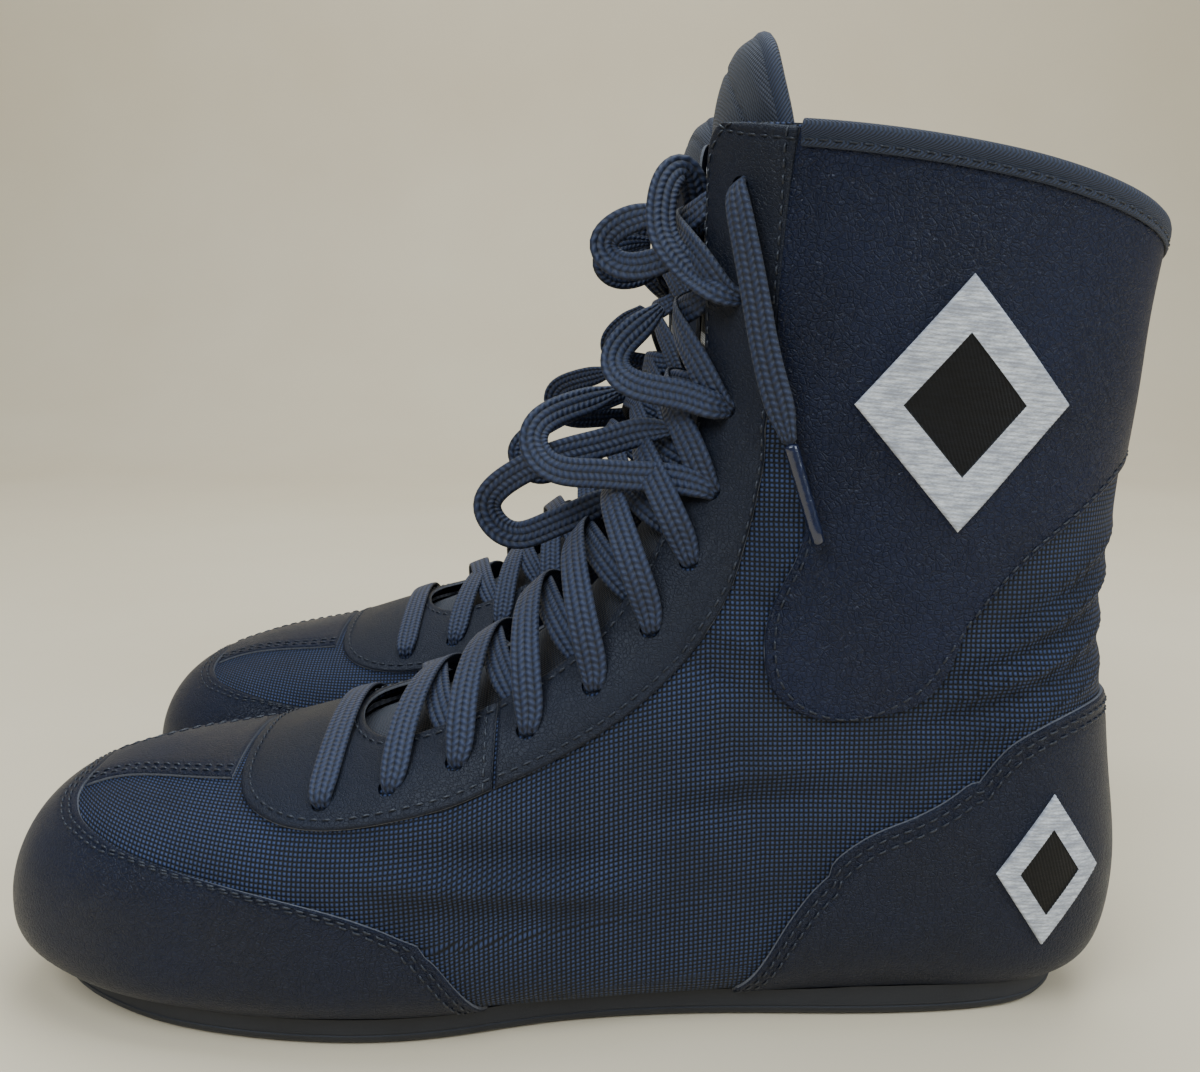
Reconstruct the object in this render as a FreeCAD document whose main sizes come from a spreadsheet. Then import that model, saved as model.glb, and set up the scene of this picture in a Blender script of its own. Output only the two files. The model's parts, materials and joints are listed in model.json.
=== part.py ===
"""A pair of high-top boxing boots: thin rubber soles, mesh uppers, leather overlays and flat laces.

The left boot is modelled with its toe towards -X, its heel towards +X and its outer side towards -Y.
The right boot is its mirror image in the XZ plane. +Z is up and the soles stand on Z = 0.
"""
import FreeCAD
import Part
import math
import os
import Sketcher

V = FreeCAD.Vector
doc = FreeCAD.newDocument("boxing_boots")

# ---------------------------------------------------------------------------------------------
# Driving dimensions, in millimetres
# ---------------------------------------------------------------------------------------------
DIMENSIONS = [
    ("pair_pitch", 130.0, "distance between the centre planes of the two boots"),
    ("toe_reach", 147.2, "distance from the origin to the foremost point of the lasted toe"),
    ("outsole_thick", 3.8, "rubber outsole"),
    ("toe_spring", 7.5, "lift of the outsole under the toe tip"),
    ("board_thick", 2.0, "insole board"),
    ("board_base", 9.0, "height of the underside of the insole board"),
    ("sock_thick", 3.5, "foam sockliner"),
    ("board_inset", 5.5, "insole board edge, inside the outsole edge"),
    ("sock_inset", 6.0, "sockliner edge, inside the outsole edge"),
    ("mesh_thick", 1.0, "mesh layer of the upper"),
    ("liner_thick", 1.0, "lining"),
    ("board_shell", 0.5, "toe puff and heel stiffener"),
    ("leather_thick", 1.2, "leather overlays"),
    ("layer_gap", 0.12, "glue line between two layers"),
    ("tongue_thick", 5.0, "padded tongue"),
    ("tongue_gap", 4.8, "tongue face behind the outside of the upper"),
    ("label_thick", 0.8, "woven tongue label"),
    ("badge_thick", 0.9, "embroidered badges"),
    ("tape_thick", 1.1, "collar binding tape"),
    ("tape_width", 9.0, "collar binding tape"),
    ("eyelet_bore", 5.0, "punched lace holes"),
    ("lace_width", 7.5, "flat lace"),
    ("lace_thick", 1.3, "flat lace"),
    ("aglet_bore", 3.4, "lace tip, outside diameter"),
    ("aglet_long", 24.0, "lace tip"),
]
sheet = doc.addObject("Spreadsheet::Sheet", "dimensions")
for row, (alias, value, meaning) in enumerate(DIMENSIONS, start=1):
    sheet.set(f"A{row}", alias)
    sheet.set(f"B{row}", str(value))
    sheet.set(f"C{row}", meaning)
    sheet.setAlias(f"B{row}", alias)
doc.recompute()


def size(alias):
    """Return one driving dimension from the sheet."""
    return float(sheet.get(alias))


# ---------------------------------------------------------------------------------------------
# The lasted shape: oval sections that fan from the toe, round the ankle, up to the collar.
# Each row: lower point x, z; upper point x, z; sideways shift; half width;
# share of the height, from the lower point, at which the section is widest; roundness above, below.
# x runs back from the toe tip. A roundness of 2 is an ellipse, more is boxier.
# ---------------------------------------------------------------------------------------------
STATIONS = [
    (0.0, 25.0, 0.0, 25.0, 10.0, 0.0, 0.42, 2.1, 2.3),
    (2.2, 14.8, 2.2, 37.0, 10.0, 18.5, 0.42, 2.1, 2.3),
    (9.0, 9.4, 9.0, 46.5, 9.0, 31.5, 0.42, 2.1, 2.7),
    (20.5, 6.8, 22.0, 54.0, 8.0, 40.5, 0.41, 2.1, 3.2),
    (39.0, 5.6, 41.0, 59.5, 6.0, 46.5, 0.38, 2.1, 4.0),
    (63.0, 5.2, 67.0, 64.5, 3.5, 50.0, 0.35, 2.1, 4.6),
    (90.0, 5.2, 96.0, 72.5, 1.0, 51.0, 0.32, 2.1, 4.8),
    (118.0, 5.2, 123.0, 84.5, 0.0, 48.5, 0.29, 2.1, 4.8),
    (147.0, 5.2, 146.0, 101.0, 0.0, 44.0, 0.26, 2.1, 4.6),
    (178.0, 5.2, 162.5, 120.0, 0.0, 40.5, 0.25, 2.1, 4.5),
    (210.0, 5.2, 172.5, 137.0, 0.0, 38.5, 0.26, 2.1, 4.2),
    (242.0, 5.2, 177.5, 150.0, 0.0, 37.5, 0.28, 2.15, 4.2),
    (269.0, 5.9, 179.8, 160.5, 0.0, 37.0, 0.31, 2.2, 4.0),
    (286.0, 13.5, 180.6, 168.5, 0.0, 36.5, 0.35, 2.2, 3.5),
    (292.0, 33.0, 181.0, 176.5, 0.0, 37.0, 0.40, 2.2, 2.9),
    (291.5, 56.0, 181.2, 184.5, 0.0, 37.5, 0.43, 2.2, 2.5),
    (288.5, 80.0, 181.3, 192.0, 0.0, 38.0, 0.45, 2.2, 2.4),
    (287.0, 105.0, 181.4, 199.5, 0.0, 38.5, 0.47, 2.2, 2.3),
    (288.5, 133.0, 181.5, 207.0, 0.0, 39.5, 0.48, 2.2, 2.3),
    (291.0, 163.0, 181.7, 214.0, 0.0, 40.5, 0.49, 2.2, 2.3),
    (294.5, 193.0, 182.2, 221.0, 0.0, 41.5, 0.50, 2.2, 2.3),
    (298.0, 222.0, 183.2, 229.0, 0.0, 42.5, 0.50, 2.2, 2.3),
    (301.0, 250.0, 186.0, 238.0, 0.0, 43.0, 0.50, 2.2, 2.3),
    (303.0, 275.0, 190.5, 246.0, 0.0, 43.0, 0.50, 2.2, 2.3),
]
COLLAR = 20.0          # station of the collar edge at the front and back
COLLAR_CROWN = 0.33    # how many stations the collar edge rises at the sides
LAST_STATION = len(STATIONS) - 1


def spline_curvatures(values):
    """Second differences of the natural cubic spline through equally spaced values."""
    count = len(values)
    rhs = [6.0 * (values[i + 1] - 2.0 * values[i] + values[i - 1]) for i in range(1, count - 1)]
    diagonal = [4.0] * len(rhs)
    for i in range(1, len(rhs)):
        share = 1.0 / diagonal[i - 1]
        diagonal[i] -= share
        rhs[i] -= share * rhs[i - 1]
    inner = [0.0] * len(rhs)
    for i in reversed(range(len(rhs))):
        after = inner[i + 1] if i + 1 < len(rhs) else 0.0
        inner[i] = (rhs[i] - after) / diagonal[i]
    return [0.0] + inner + [0.0]


def spline_value(values, curvatures, place):
    """The natural cubic spline at place, counted in points from the first one."""
    k = min(max(int(math.floor(place)), 0), len(values) - 2)
    t = place - k
    bend = (2.0 - t) * curvatures[k] + (1.0 + t) * curvatures[k + 1]
    return values[k] * (1.0 - t) + values[k + 1] * t - t * (1.0 - t) / 6.0 * bend


COLUMNS = [[row[c] for row in STATIONS] for c in range(9)]
CURVATURES = [spline_curvatures(column) for column in COLUMNS]


def section(station):
    """The nine section values at a station number, which need not be whole."""
    return [spline_value(COLUMNS[c], CURVATURES[c], station) for c in range(9)]


def signed_power(value, power):
    return math.copysign(abs(value) ** power, value)


def section_point(values, angle):
    """A point of a section: angle 0 is its upper point, pi its lower one, positive the inner side."""
    low_x, low_z, top_x, top_z, shift, half, wide, round_up, round_down = values
    cosine = math.cos(angle)
    power = 2.0 / (round_down + (round_up - round_down) * (1.0 + cosine) / 2.0)
    up = signed_power(cosine, power)
    share = wide + (1.0 - wide) * up if cosine >= 0.0 else wide + wide * up
    side = half * signed_power(math.sin(angle), power)
    return (low_x + (top_x - low_x) * share, shift + side, low_z + (top_z - low_z) * share)


ANGLE_STEPS = 72       # steps along half a section
ROWS_PER_STATION = 4
SHARES = 36            # equal arc shares in which the angles are kept


def measure_sections():
    """For each row: half the girth, and the angles at equal shares of it."""
    girths, angles = [], []
    for row in range(LAST_STATION * ROWS_PER_STATION + 1):
        values = section(max(row / ROWS_PER_STATION, 0.004))
        points = [section_point(values, math.pi * k / ANGLE_STEPS) for k in range(ANGLE_STEPS + 1)]
        arc = [0.0]
        for a, b in zip(points, points[1:]):
            arc.append(arc[-1] + math.dist(a, b))
        girths.append(arc[-1])
        found, k = [], 0
        for share in range(SHARES + 1):
            goal = arc[-1] * share / SHARES
            while k < ANGLE_STEPS - 1 and arc[k + 1] < goal:
                k += 1
            part = (goal - arc[k]) / (arc[k + 1] - arc[k])
            found.append(math.pi * (k + part) / ANGLE_STEPS)
        angles.append(found)
    return girths, angles


HALF_GIRTHS, SECTION_ANGLES = measure_sections()


def half_girth(station):
    """Length of a section from its upper point to its lower point, along one side."""
    place = min(max(station, 0.0), LAST_STATION) * ROWS_PER_STATION
    k = min(int(place), len(HALF_GIRTHS) - 2)
    return HALF_GIRTHS[k] + (HALF_GIRTHS[k + 1] - HALF_GIRTHS[k]) * (place - k)


def surface(station, share):
    """The lasted surface. share 0 is the top line, 1 the bottom line by the inner side, -1 by the outer.

    Shares past 1 carry on round the bottom or back line to the other side.
    """
    if share > 1.0:
        share -= 2.0
    elif share < -1.0:
        share += 2.0
    station = min(max(station, 0.004), LAST_STATION)
    place = station * ROWS_PER_STATION
    row = min(int(place), len(SECTION_ANGLES) - 2)
    along = place - row
    across = abs(share) * SHARES
    k = min(int(across), SHARES - 1)
    part = across - k
    before, after = SECTION_ANGLES[row], SECTION_ANGLES[row + 1]
    low = before[k] + (before[k + 1] - before[k]) * part
    high = after[k] + (after[k + 1] - after[k]) * part
    angle = math.copysign(low + (high - low) * along, share)
    return V(*section_point(section(station), angle))


def normal(station, share):
    """The outward normal of the lasted surface."""
    step_s, step_q = 0.03, 0.008
    station = min(max(station, 0.05), LAST_STATION - step_s)
    along = surface(station + step_s, share) - surface(station - step_s, share)
    across = surface(station, share + step_q) - surface(station, share - step_q)
    result = along.cross(across)
    return result.normalize()


def share_at(station, arc):
    """The share at a signed distance, in millimetres, from the top line."""
    return arc / half_girth(station)


def share_up(station, arc):
    """The share at a distance, in millimetres, from the bottom or back line, on the inner side."""
    return 1.0 - arc / half_girth(station)


# ---------------------------------------------------------------------------------------------
# Patches: pieces of sheet laid on the lasted surface
# ---------------------------------------------------------------------------------------------
FRAME_SHIFT = V(-size("toe_reach"), -size("pair_pitch") / 2.0, 0.0)


def smooth_line(points):
    """A smooth line through (station, share) points, as a function of 0 to 1."""
    stations = [p[0] for p in points]
    shares = [p[1] for p in points]
    bend_s, bend_q = spline_curvatures(stations), spline_curvatures(shares)

    def line(u):
        place = u * (len(points) - 1)
        return spline_value(stations, bend_s, place), spline_value(shares, bend_q, place)
    return line


def between(line_a, line_b):
    """The ruled map between two smooth lines, as a function of two values from 0 to 1."""
    def patch(u, v):
        a, b = line_a(u), line_b(u)
        return a[0] + (b[0] - a[0]) * v, a[1] + (b[1] - a[1]) * v
    return patch


def layer(patch, low, high, rows, columns, mirror=1.0):
    """Outer and inner point grids of a patch, low and high millimetres off the lasted surface."""
    grids = []
    for lift in (high, low):
        grid = []
        for i in range(rows + 1):
            line = []
            for j in range(columns + 1):
                station, share = patch(i / rows, j / columns)
                share *= mirror
                point = surface(station, share) + normal(station, share) * lift
                line.append(point + FRAME_SHIFT)
            grid.append(line)
        grids.append(grid)
    return grids


def solid_between(outer, inner):
    """A solid whose two large faces pass through two point grids, closed by ruled edges."""
    faces = []
    for grid in (outer, inner):
        spline = Part.BSplineSurface()
        spline.interpolate(grid)
        faces.append(spline)

    edges = []
    for spline in faces:
        low_u, high_u, low_v, high_v = spline.bounds()
        edges.append([
            spline.uIso(low_u).toShape(), spline.uIso(high_u).toShape(),
            spline.vIso(low_v).toShape(), spline.vIso(high_v).toShape(),
        ])
    sides = [Part.makeRuledSurface(a, b, 1) for a, b in zip(edges[0], edges[1])]
    shell = Part.makeShell([faces[0].toShape(), faces[1].toShape()] + sides)
    shell.sewShape()
    solid = Part.makeSolid(shell)
    if solid.Volume < 0.0:
        solid.reverse()
    return solid


LEFT_NODES = []


def keep(name, shape):
    """Add a finished left-boot piece that is made from its own faces."""
    feature = doc.addObject("Part::Feature", "left_" + name)
    feature.Shape = shape
    feature.Placement = FreeCAD.Placement()
    feature.Label = "left_" + name
    LEFT_NODES.append(feature)
    return feature


MESH = (-size("mesh_thick"), 0.0)
SHELL_TOP = -size("mesh_thick") - 2.5 * size("layer_gap")
SHELL = (SHELL_TOP - size("board_shell"), SHELL_TOP)
LINER_TOP = SHELL[0] - size("layer_gap")
LINER = (LINER_TOP - size("liner_thick"), LINER_TOP)
LEATHER = (size("layer_gap"), size("layer_gap") + size("leather_thick"))
ON_LEATHER = LEATHER[1] + size("layer_gap")

# The lasting margin is turned in under the foot; behind the heel seat it becomes the back seam.
MARGIN = [(0.0, 0.1), (2.2, 0.1), (3.2, 22.0), (4.0, 32.0), (6.0, 34.0), (8.0, 28.0),
          (10.5, 25.0), (11.4, 20.0), (12.0, 11.0), (12.5, 0.1), (24.0, 0.1)]


def margin(station):
    """Distance from the bottom or back line to the edge of the upper, in millimetres."""
    for (a, low), (b, high) in zip(MARGIN, MARGIN[1:]):
        if station <= b:
            return low + (high - low) * (station - a) / (b - a)
    return MARGIN[-1][1]


# The throat edge: half the width of the lacing gap at each station, along the section.
THROAT = [(5.9, 0.1), (6.1, 18.0), (6.5, 26.5), (7.1, 28.3), (7.7, 28.8), (8.3, 29.3), (8.9, 28.0),
          (9.5, 25.0), (10.1, 21.8), (10.9, 18.3), (11.8, 16.0), (13.6, 14.5), (16.6, 14.0),
          (20.0, 14.0), (23.0, 14.0)]


def throat(station):
    for (a, low), (b, high) in zip(THROAT, THROAT[1:]):
        if station <= b:
            return low + (high - low) * (station - a) / (b - a)
    return THROAT[-1][1]


def collar_station(share):
    """Station of the collar edge at a share of the section."""
    return COLLAR + COLLAR_CROWN * math.sin(math.pi * min(abs(share), 1.0))


# Vamp: the mesh forepart, from the toe tip to the start of the throat.
def vamp_patch(low, high, clear):
    def patch(u, v):
        station = low + (high - low) * u
        edge = 1.0 - (margin(station) + clear) / half_girth(station)
        return station, edge * (2.0 * v - 1.0)
    return patch


# Quarter: the mesh side, from the vamp seam to the back seam and the collar.
def quarter_patch(clear):
    def patch(u, v):
        front, back = 5.95, 20.0
        station = front + (back - front) * u
        near = (throat(max(station, 6.5)) + 4.0) / half_girth(station)
        far = 1.0 - (margin(station) + clear) / half_girth(station)
        share = near + (far - near) * v
        if station > 16.0:
            top = collar_station(share) - 0.02
            station = 16.0 + (top - 16.0) * (station - 16.0) / 4.0
        return station, share
    return patch


keep("vamp_mesh", solid_between(*layer(vamp_patch(0.05, 5.9, 0.0), *MESH, 22, 40)))
for side, mirror in (("outer", -1.0), ("inner", 1.0)):
    keep("quarter_mesh_" + side, solid_between(*layer(quarter_patch(0.0), *MESH, 46, 22, mirror)))
    keep("lining_" + side, solid_between(*layer(quarter_patch(0.6), *LINER, 46, 22, mirror)))

# Toe puff and heel stiffener: thin moulded shells between the mesh and the lining.
keep("toe_puff", solid_between(*layer(vamp_patch(0.12, 3.6, 0.3), *SHELL, 20, 36)))

SOLE_LINE = [(9.4, 24.5), (10.4, 24.0), (11.2, 21.0), (11.85, 13.0), (12.15, 6.0), (12.25, 0.0)]


def heel_line(points, lowered=0.0):
    """A line round the heel from (station, distance from the back line) points, both sides."""
    outer = [(s, -share_up(s, d)) for s, d in points]
    inner = [(s, share_up(s, d) - 2.0) for s, d in reversed(points[:-1])]
    return smooth_line(outer + inner)


# Heel cover: its upper edge climbs from the sole at the waist to above the heel at the back.
HEEL_EDGE = [(9.48, 34.4), (9.77, 44.6), (10.17, 59.4), (10.85, 74.9), (11.59, 84.6), (13.19, 87.4),
             (14.1, 74.0), (14.96, 54.9), (15.95, 23.9), (16.1, 0.0)]
heel_patch = between(heel_line(SOLE_LINE), heel_line(HEEL_EDGE))
keep("heel_cover", solid_between(*layer(heel_patch, *LEATHER, 48, 14)))

STIFFENER_EDGE = [(9.6, 36.0), (10.3, 50.0), (11.6, 66.0), (13.2, 66.0), (14.4, 42.0), (15.1, 0.0)]
stiffener_patch = between(heel_line(SOLE_LINE), heel_line(STIFFENER_EDGE))
keep("heel_stiffener", solid_between(*layer(stiffener_patch, *SHELL, 48, 12)))

# Toe cap: leather over the toe tip with a wing along each side, open over the mesh windows.
CAP_SHARES = [0.0, 0.10, 0.165, 0.262, 0.329, 0.372, 0.407, 0.463, 0.528, 0.565, 0.643, 0.714, 0.80, 1.0]
CAP_STATIONS = [2.85, 2.80, 2.82, 3.16, 3.76, 4.35, 5.18, 6.06, 6.66, 6.89, 7.15, 7.36, 7.5, 7.5]


def cap_edge(share):
    """Station of the toe cap's rear edge."""
    share = abs(share)
    for k in range(len(CAP_SHARES) - 1):
        if share <= CAP_SHARES[k + 1]:
            part = (share - CAP_SHARES[k]) / (CAP_SHARES[k + 1] - CAP_SHARES[k])
            return CAP_STATIONS[k] + (CAP_STATIONS[k + 1] - CAP_STATIONS[k]) * part
    return CAP_STATIONS[-1]


def cap_patch(u, v):
    across = 2.0 * v - 1.0
    rear = 0.8 * across
    for _ in range(6):
        rear = across * (1.0 - margin(cap_edge(rear)) / half_girth(cap_edge(rear)))
    start = 0.05
    station = start + (cap_edge(rear) - start) * u
    return station, across * (1.0 - margin(station) / half_girth(station))


keep("toe_cap", solid_between(*layer(cap_patch, *LEATHER, 18, 40)))

# Toe bridge: the strip along the top from the toe cap to the throat overlay.
bridge_patch = between(
    smooth_line([(s, -share_at(s, a)) for s, a in ((2.88, 13.5), (3.5, 14.5), (4.2, 19.0), (4.9, 24.0))]),
    smooth_line([(s, share_at(s, a)) for s, a in ((2.88, 13.5), (3.5, 14.5), (4.2, 19.0), (4.9, 24.0))]),
)
keep("toe_bridge", solid_between(*layer(bridge_patch, *LEATHER, 10, 12)))


# ---------------------------------------------------------------------------------------------
# Throat overlay and eyestays, with their punched lace holes
# ---------------------------------------------------------------------------------------------
EYELETS = [(5.87, 40.7), (6.46, 41.6), (7.06, 40.9), (7.75, 40.9), (8.49, 41.2), (9.30, 40.0),
           (10.14, 36.0), (11.11, 30.6), (12.88, 27.0), (15.84, 27.0), (18.55, 27.0)]
SEAM = 7.42


def both_sides(points):
    """A line that starts on the outer side, rounds the front and ends on the inner side."""
    outer = [(s, -share_at(s, a)) for s, a in points]
    inner = [(s, share_at(s, a)) for s, a in reversed(points[:-1])]
    return smooth_line(outer + inner)


def punches(name, places):
    """Cylinders that stand through the leather at (station, share) places, fused to one tool."""
    tools = []
    for k, (station, share) in enumerate(places):
        cylinder = doc.addObject("Part::Cylinder", f"{name}_punch_{k + 1}")
        cylinder.setExpression("Radius", "dimensions.eyelet_bore / 2")
        cylinder.Height = 8.0
        facing = normal(station, share)
        base = surface(station, share) + FRAME_SHIFT - facing * 4.0
        turn = FreeCAD.Rotation(V(0, 0, 1), facing)
        cylinder.Placement = FreeCAD.Placement(base, turn)
        tools.append(cylinder)
    fused = doc.addObject("Part::MultiFuse", name + "_punches")
    fused.Shapes = tools
    return fused


def punched(name, blank_shape, places):
    """A leather piece with its lace holes cut through."""
    blank = doc.addObject("Part::Feature", f"left_{name}_blank")
    blank.Shape = blank_shape
    cut = doc.addObject("Part::Cut", "left_" + name)
    cut.Base = blank
    cut.Tool = punches(name, places)
    cut.Label = "left_" + name
    LEFT_NODES.append(cut)


OVERLAY_EDGE = [(SEAM, 50.9), (7.0, 51.2), (6.45, 50.0), (5.75, 46.5), (5.25, 38.0), (5.0, 24.0), (4.95, 0.0)]
THROAT_EDGE = [(SEAM, 28.5), (7.0, 28.0), (6.55, 26.5), (6.25, 22.0), (6.08, 15.0), (6.0, 8.0), (5.97, 0.0)]
overlay_patch = between(both_sides(OVERLAY_EDGE), both_sides(THROAT_EDGE))
overlay_places = [(s, sign * share_at(s, a)) for s, a in EYELETS[:3] for sign in (-1.0, 1.0)]
punched("throat_overlay", solid_between(*layer(overlay_patch, *LEATHER, 36, 6)), overlay_places)

STAY_OUTER = [(SEAM + 0.03, 51.0), (8.5, 53.0), (9.3, 54.0), (9.9, 53.2), (10.7, 50.2), (11.8, 45.0),
              (13.6, 41.2), (15.6, 41.2), (17.9, 41.2), (20.15, 41.5)]
STAY_INNER = [(SEAM + 0.03, 28.5), (8.3, 29.3), (8.9, 28.0), (9.5, 25.0), (10.1, 21.8), (11.3, 17.0),
              (13.4, 14.5), (15.6, 14.0), (17.9, 14.0), (20.10, 14.0)]
stay_patch = between(
    smooth_line([(s, share_at(s, a)) for s, a in STAY_OUTER]),
    smooth_line([(s, share_at(s, a)) for s, a in STAY_INNER]),
)
for side, mirror in (("outer", -1.0), ("inner", 1.0)):
    places = [(s, mirror * share_at(s, a)) for s, a in EYELETS[3:]]
    punched("eyestay_" + side, solid_between(*layer(stay_patch, *LEATHER, 32, 6, mirror)), places)

# Shaft panels: smooth leather round the ankle, from behind the eyestay to the back of the shaft.
PANEL_LOW = [(14.1, 43.4), (13.75, 53.0), (13.1, 59.3), (12.1, 61.8), (11.15, 62.8), (10.72, 70.0),
             (10.74, 80.0), (11.12, 91.0), (11.7, 99.5), (12.6, 106.0), (14.2, 112.4), (16.1, 121.4),
             (17.3, 132.0), (18.1, 146.0)]
low_line = smooth_line([(s, share_at(s, a)) for s, a in PANEL_LOW] + [(18.35, 0.9985)])


def panel_patch(u, v):
    low = low_line(u)
    start = share_at(20.0, 43.4)
    share = start + (0.9985 - start) * u
    top = (collar_station(share) - 0.02, share)
    return low[0] + (top[0] - low[0]) * v, low[1] + (top[1] - low[1]) * v


for side, mirror in (("outer", -1.0), ("inner", 1.0)):
    keep("shaft_panel_" + side, solid_between(*layer(panel_patch, *LEATHER, 48, 16, mirror)))


# Backstay: the narrow strip over the back seam between the heel cover and the shaft panels.
def backstay_patch(u, v):
    station = 16.12 + (18.25 - 16.12) * u
    return station, 1.0 + (2.0 * v - 1.0) * 6.0 / half_girth(station)


keep("backstay", solid_between(*layer(backstay_patch, *LEATHER, 12, 6)))


# Collar binding: woven tape over the collar edge, from behind one eyestay round to the other.
def binding_patch(u, v):
    start = share_at(20.0, 42.5)
    share = start + (2.0 - 2.0 * start) * u
    folded = share if share <= 1.0 else 2.0 - share
    rise = (surface(20.5, folded) - surface(19.5, folded)).Length
    top = collar_station(folded) + 1.5 / rise
    low = top - size("tape_width") / rise
    return low + (top - low) * v, share


TAPE = (ON_LEATHER, ON_LEATHER + size("tape_thick"))
keep("collar_binding", solid_between(*layer(binding_patch, *TAPE, 48, 3)))

# Badges: embroidered lozenges, a large one on the outer side of the shaft and a small one on the heel.
def seen_from_side(x, z, station, share):
    """Station and share of the surface point at x, z in a side view, by Newton steps from a guess."""
    for _ in range(12):
        here = surface(station, share)
        by_station = (surface(station + 0.05, share) - here) * 20.0
        by_share = (surface(station, share + 0.005) - here) * 200.0
        miss_x, miss_z = x - here.x, z - here.z
        scale = by_station.x * by_share.z - by_station.z * by_share.x
        station += (miss_x * by_share.z - miss_z * by_share.x) / scale
        share += (miss_z * by_station.x - miss_x * by_station.z) / scale
    return station, share


def badge_patch(middle_x, middle_z, half_long, half_high, guess):
    """A lozenge patch whose middle and half sizes are measured in a side view."""
    def patch(u, v):
        a, b = 2.0 * u - 1.0, 2.0 * v - 1.0
        x = middle_x + (a + b) / 2.0 * half_long
        z = middle_z + (b - a) / 2.0 * half_high
        return seen_from_side(x, z, *guess)
    return patch


BADGE = (ON_LEATHER, ON_LEATHER + size("badge_thick"))
shaft_badge = badge_patch(240.0, 157.0, 24.0, 29.0, (17.3, -0.5))
keep("shaft_badge", solid_between(*layer(shaft_badge, *BADGE, 8, 8)))
heel_badge = badge_patch(267.5, 43.0, 13.0, 20.0, (13.7, -0.8))
keep("heel_badge", solid_between(*layer(heel_badge, *BADGE, 8, 8)))


# ---------------------------------------------------------------------------------------------
# Tongue and its label
# ---------------------------------------------------------------------------------------------
def tongue_patch(u, v):
    across = 2.0 * v - 1.0
    top = 23.0 - 2.7 * across * across - 0.3 * across ** 4
    station = 6.25 + (top - 6.25) * u
    widths = ((6.0, 24.0), (7.0, 31.0), (9.0, 37.0), (10.5, 34.0), (12.0, 31.0), (14.0, 31.0), (24.0, 36.0))
    for (a, low), (b, high) in zip(widths, widths[1:]):
        if station <= b:
            half = low + (high - low) * (station - a) / (b - a)
            break
    return station, across * half / half_girth(station)


TONGUE = (-size("tongue_gap") - size("tongue_thick"), -size("tongue_gap"))
keep("tongue", solid_between(*layer(tongue_patch, *TONGUE, 24, 10)))
LABEL = (-size("tongue_gap") + size("layer_gap"), -size("tongue_gap") + size("layer_gap") + size("label_thick"))
label_patch = between(
    smooth_line([(s, -share_at(s, 11.0)) for s in (13.2, 15.0, 17.0, 19.0)]),
    smooth_line([(s, share_at(s, 11.0)) for s in (13.2, 15.0, 17.0, 19.0)]),
)
keep("tongue_label", solid_between(*layer(label_patch, *LABEL, 10, 6)))


# ---------------------------------------------------------------------------------------------
# Laces
# ---------------------------------------------------------------------------------------------
def ribbon(points, facings, width, thick):
    """A flat strip along a line of points; each facing is the direction its flat side looks."""
    outer, inner = [], []
    for k, (point, facing) in enumerate(zip(points, facings)):
        after = points[min(k + 1, len(points) - 1)]
        before = points[max(k - 1, 0)]
        along = (after - before).normalize()
        across = along.cross(facing).normalize()
        up = across.cross(along).normalize()
        steps = (-0.5, 0.0, 0.5)
        outer.append([point + across * (width * s) + up * (thick / 2.0) for s in steps])
        inner.append([point + across * (width * s) - up * (thick / 2.0) for s in steps])
    return solid_between(outer, inner)


def lace_row(start, end, lift, steps=10):
    """A strand from a hole at start over the gap to end, both (station, signed distance)."""
    points, facings = [], []
    for k in range(steps + 1):
        u = k / steps
        station = start[0] + (end[0] - start[0]) * u
        share = share_at(station, start[1] + (end[1] - start[1]) * u)
        facing = normal(station, share)
        rise = ON_LEATHER + 0.8 + lift * math.sin(math.pi * u) ** 0.7
        points.append(surface(station, share) + facing * rise + FRAME_SHIFT)
        facings.append(facing)
    return ribbon(points, facings, size("lace_width"), size("lace_thick"))


strands = [lace_row((EYELETS[0][0], -37.0), (EYELETS[0][0], 37.0), 0.6)]
for below, above in zip(EYELETS[1:], EYELETS[2:]):
    for sign, lift in ((-1.0, 2.6), (1.0, 0.8)):
        arrive = 0.35 * below[0] + 0.65 * above[0]
        strands.append(lace_row((below[0], sign * (below[1] - 3.5)), (arrive, -sign * (throat(arrive) - 1.5)), lift))
keep("lace", Part.makeCompound(strands))

# Free ends: they leave the top holes and hang down the outside of the shaft.
END_ROUTE = [(18.45, 27.5), (17.6, 32.5), (16.4, 37.5), (15.0, 44.0), (14.1, 52.0)]


def free_end(sign):
    points, facings = [], []
    steps = 16
    route_s, route_a = [p[0] for p in END_ROUTE], [p[1] for p in END_ROUTE]
    bend_s, bend_a = spline_curvatures(route_s), spline_curvatures(route_a)
    for k in range(steps + 1):
        place = (len(END_ROUTE) - 1) * k / steps
        station = spline_value(route_s, bend_s, place)
        share = sign * spline_value(route_a, bend_a, place) / half_girth(station)
        facing = normal(station, share)
        rise = ON_LEATHER + 1.2 + 2.2 * math.sin(math.pi * k / steps) + 3.0 * k / steps
        points.append(surface(station, share) + facing * rise + FRAME_SHIFT)
        facings.append(facing)
    return points, facings


for side, sign in (("outer", -1.0), ("inner", 1.0)):
    points, facings = free_end(sign)
    keep("lace_end_" + side, ribbon(points, facings, size("lace_width"), size("lace_thick")))
    heading = (points[-1] - points[-2]).normalize()
    aglet = doc.addObject("Part::Cylinder", "left_aglet_" + side)
    aglet.setExpression("Radius", "dimensions.aglet_bore / 2")
    aglet.setExpression("Height", "dimensions.aglet_long")
    aglet.Placement = FreeCAD.Placement(points[-1] + heading * 0.1, FreeCAD.Rotation(V(0, 0, 1), heading))
    aglet.Label = "left_aglet_" + side
    LEFT_NODES.append(aglet)

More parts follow.
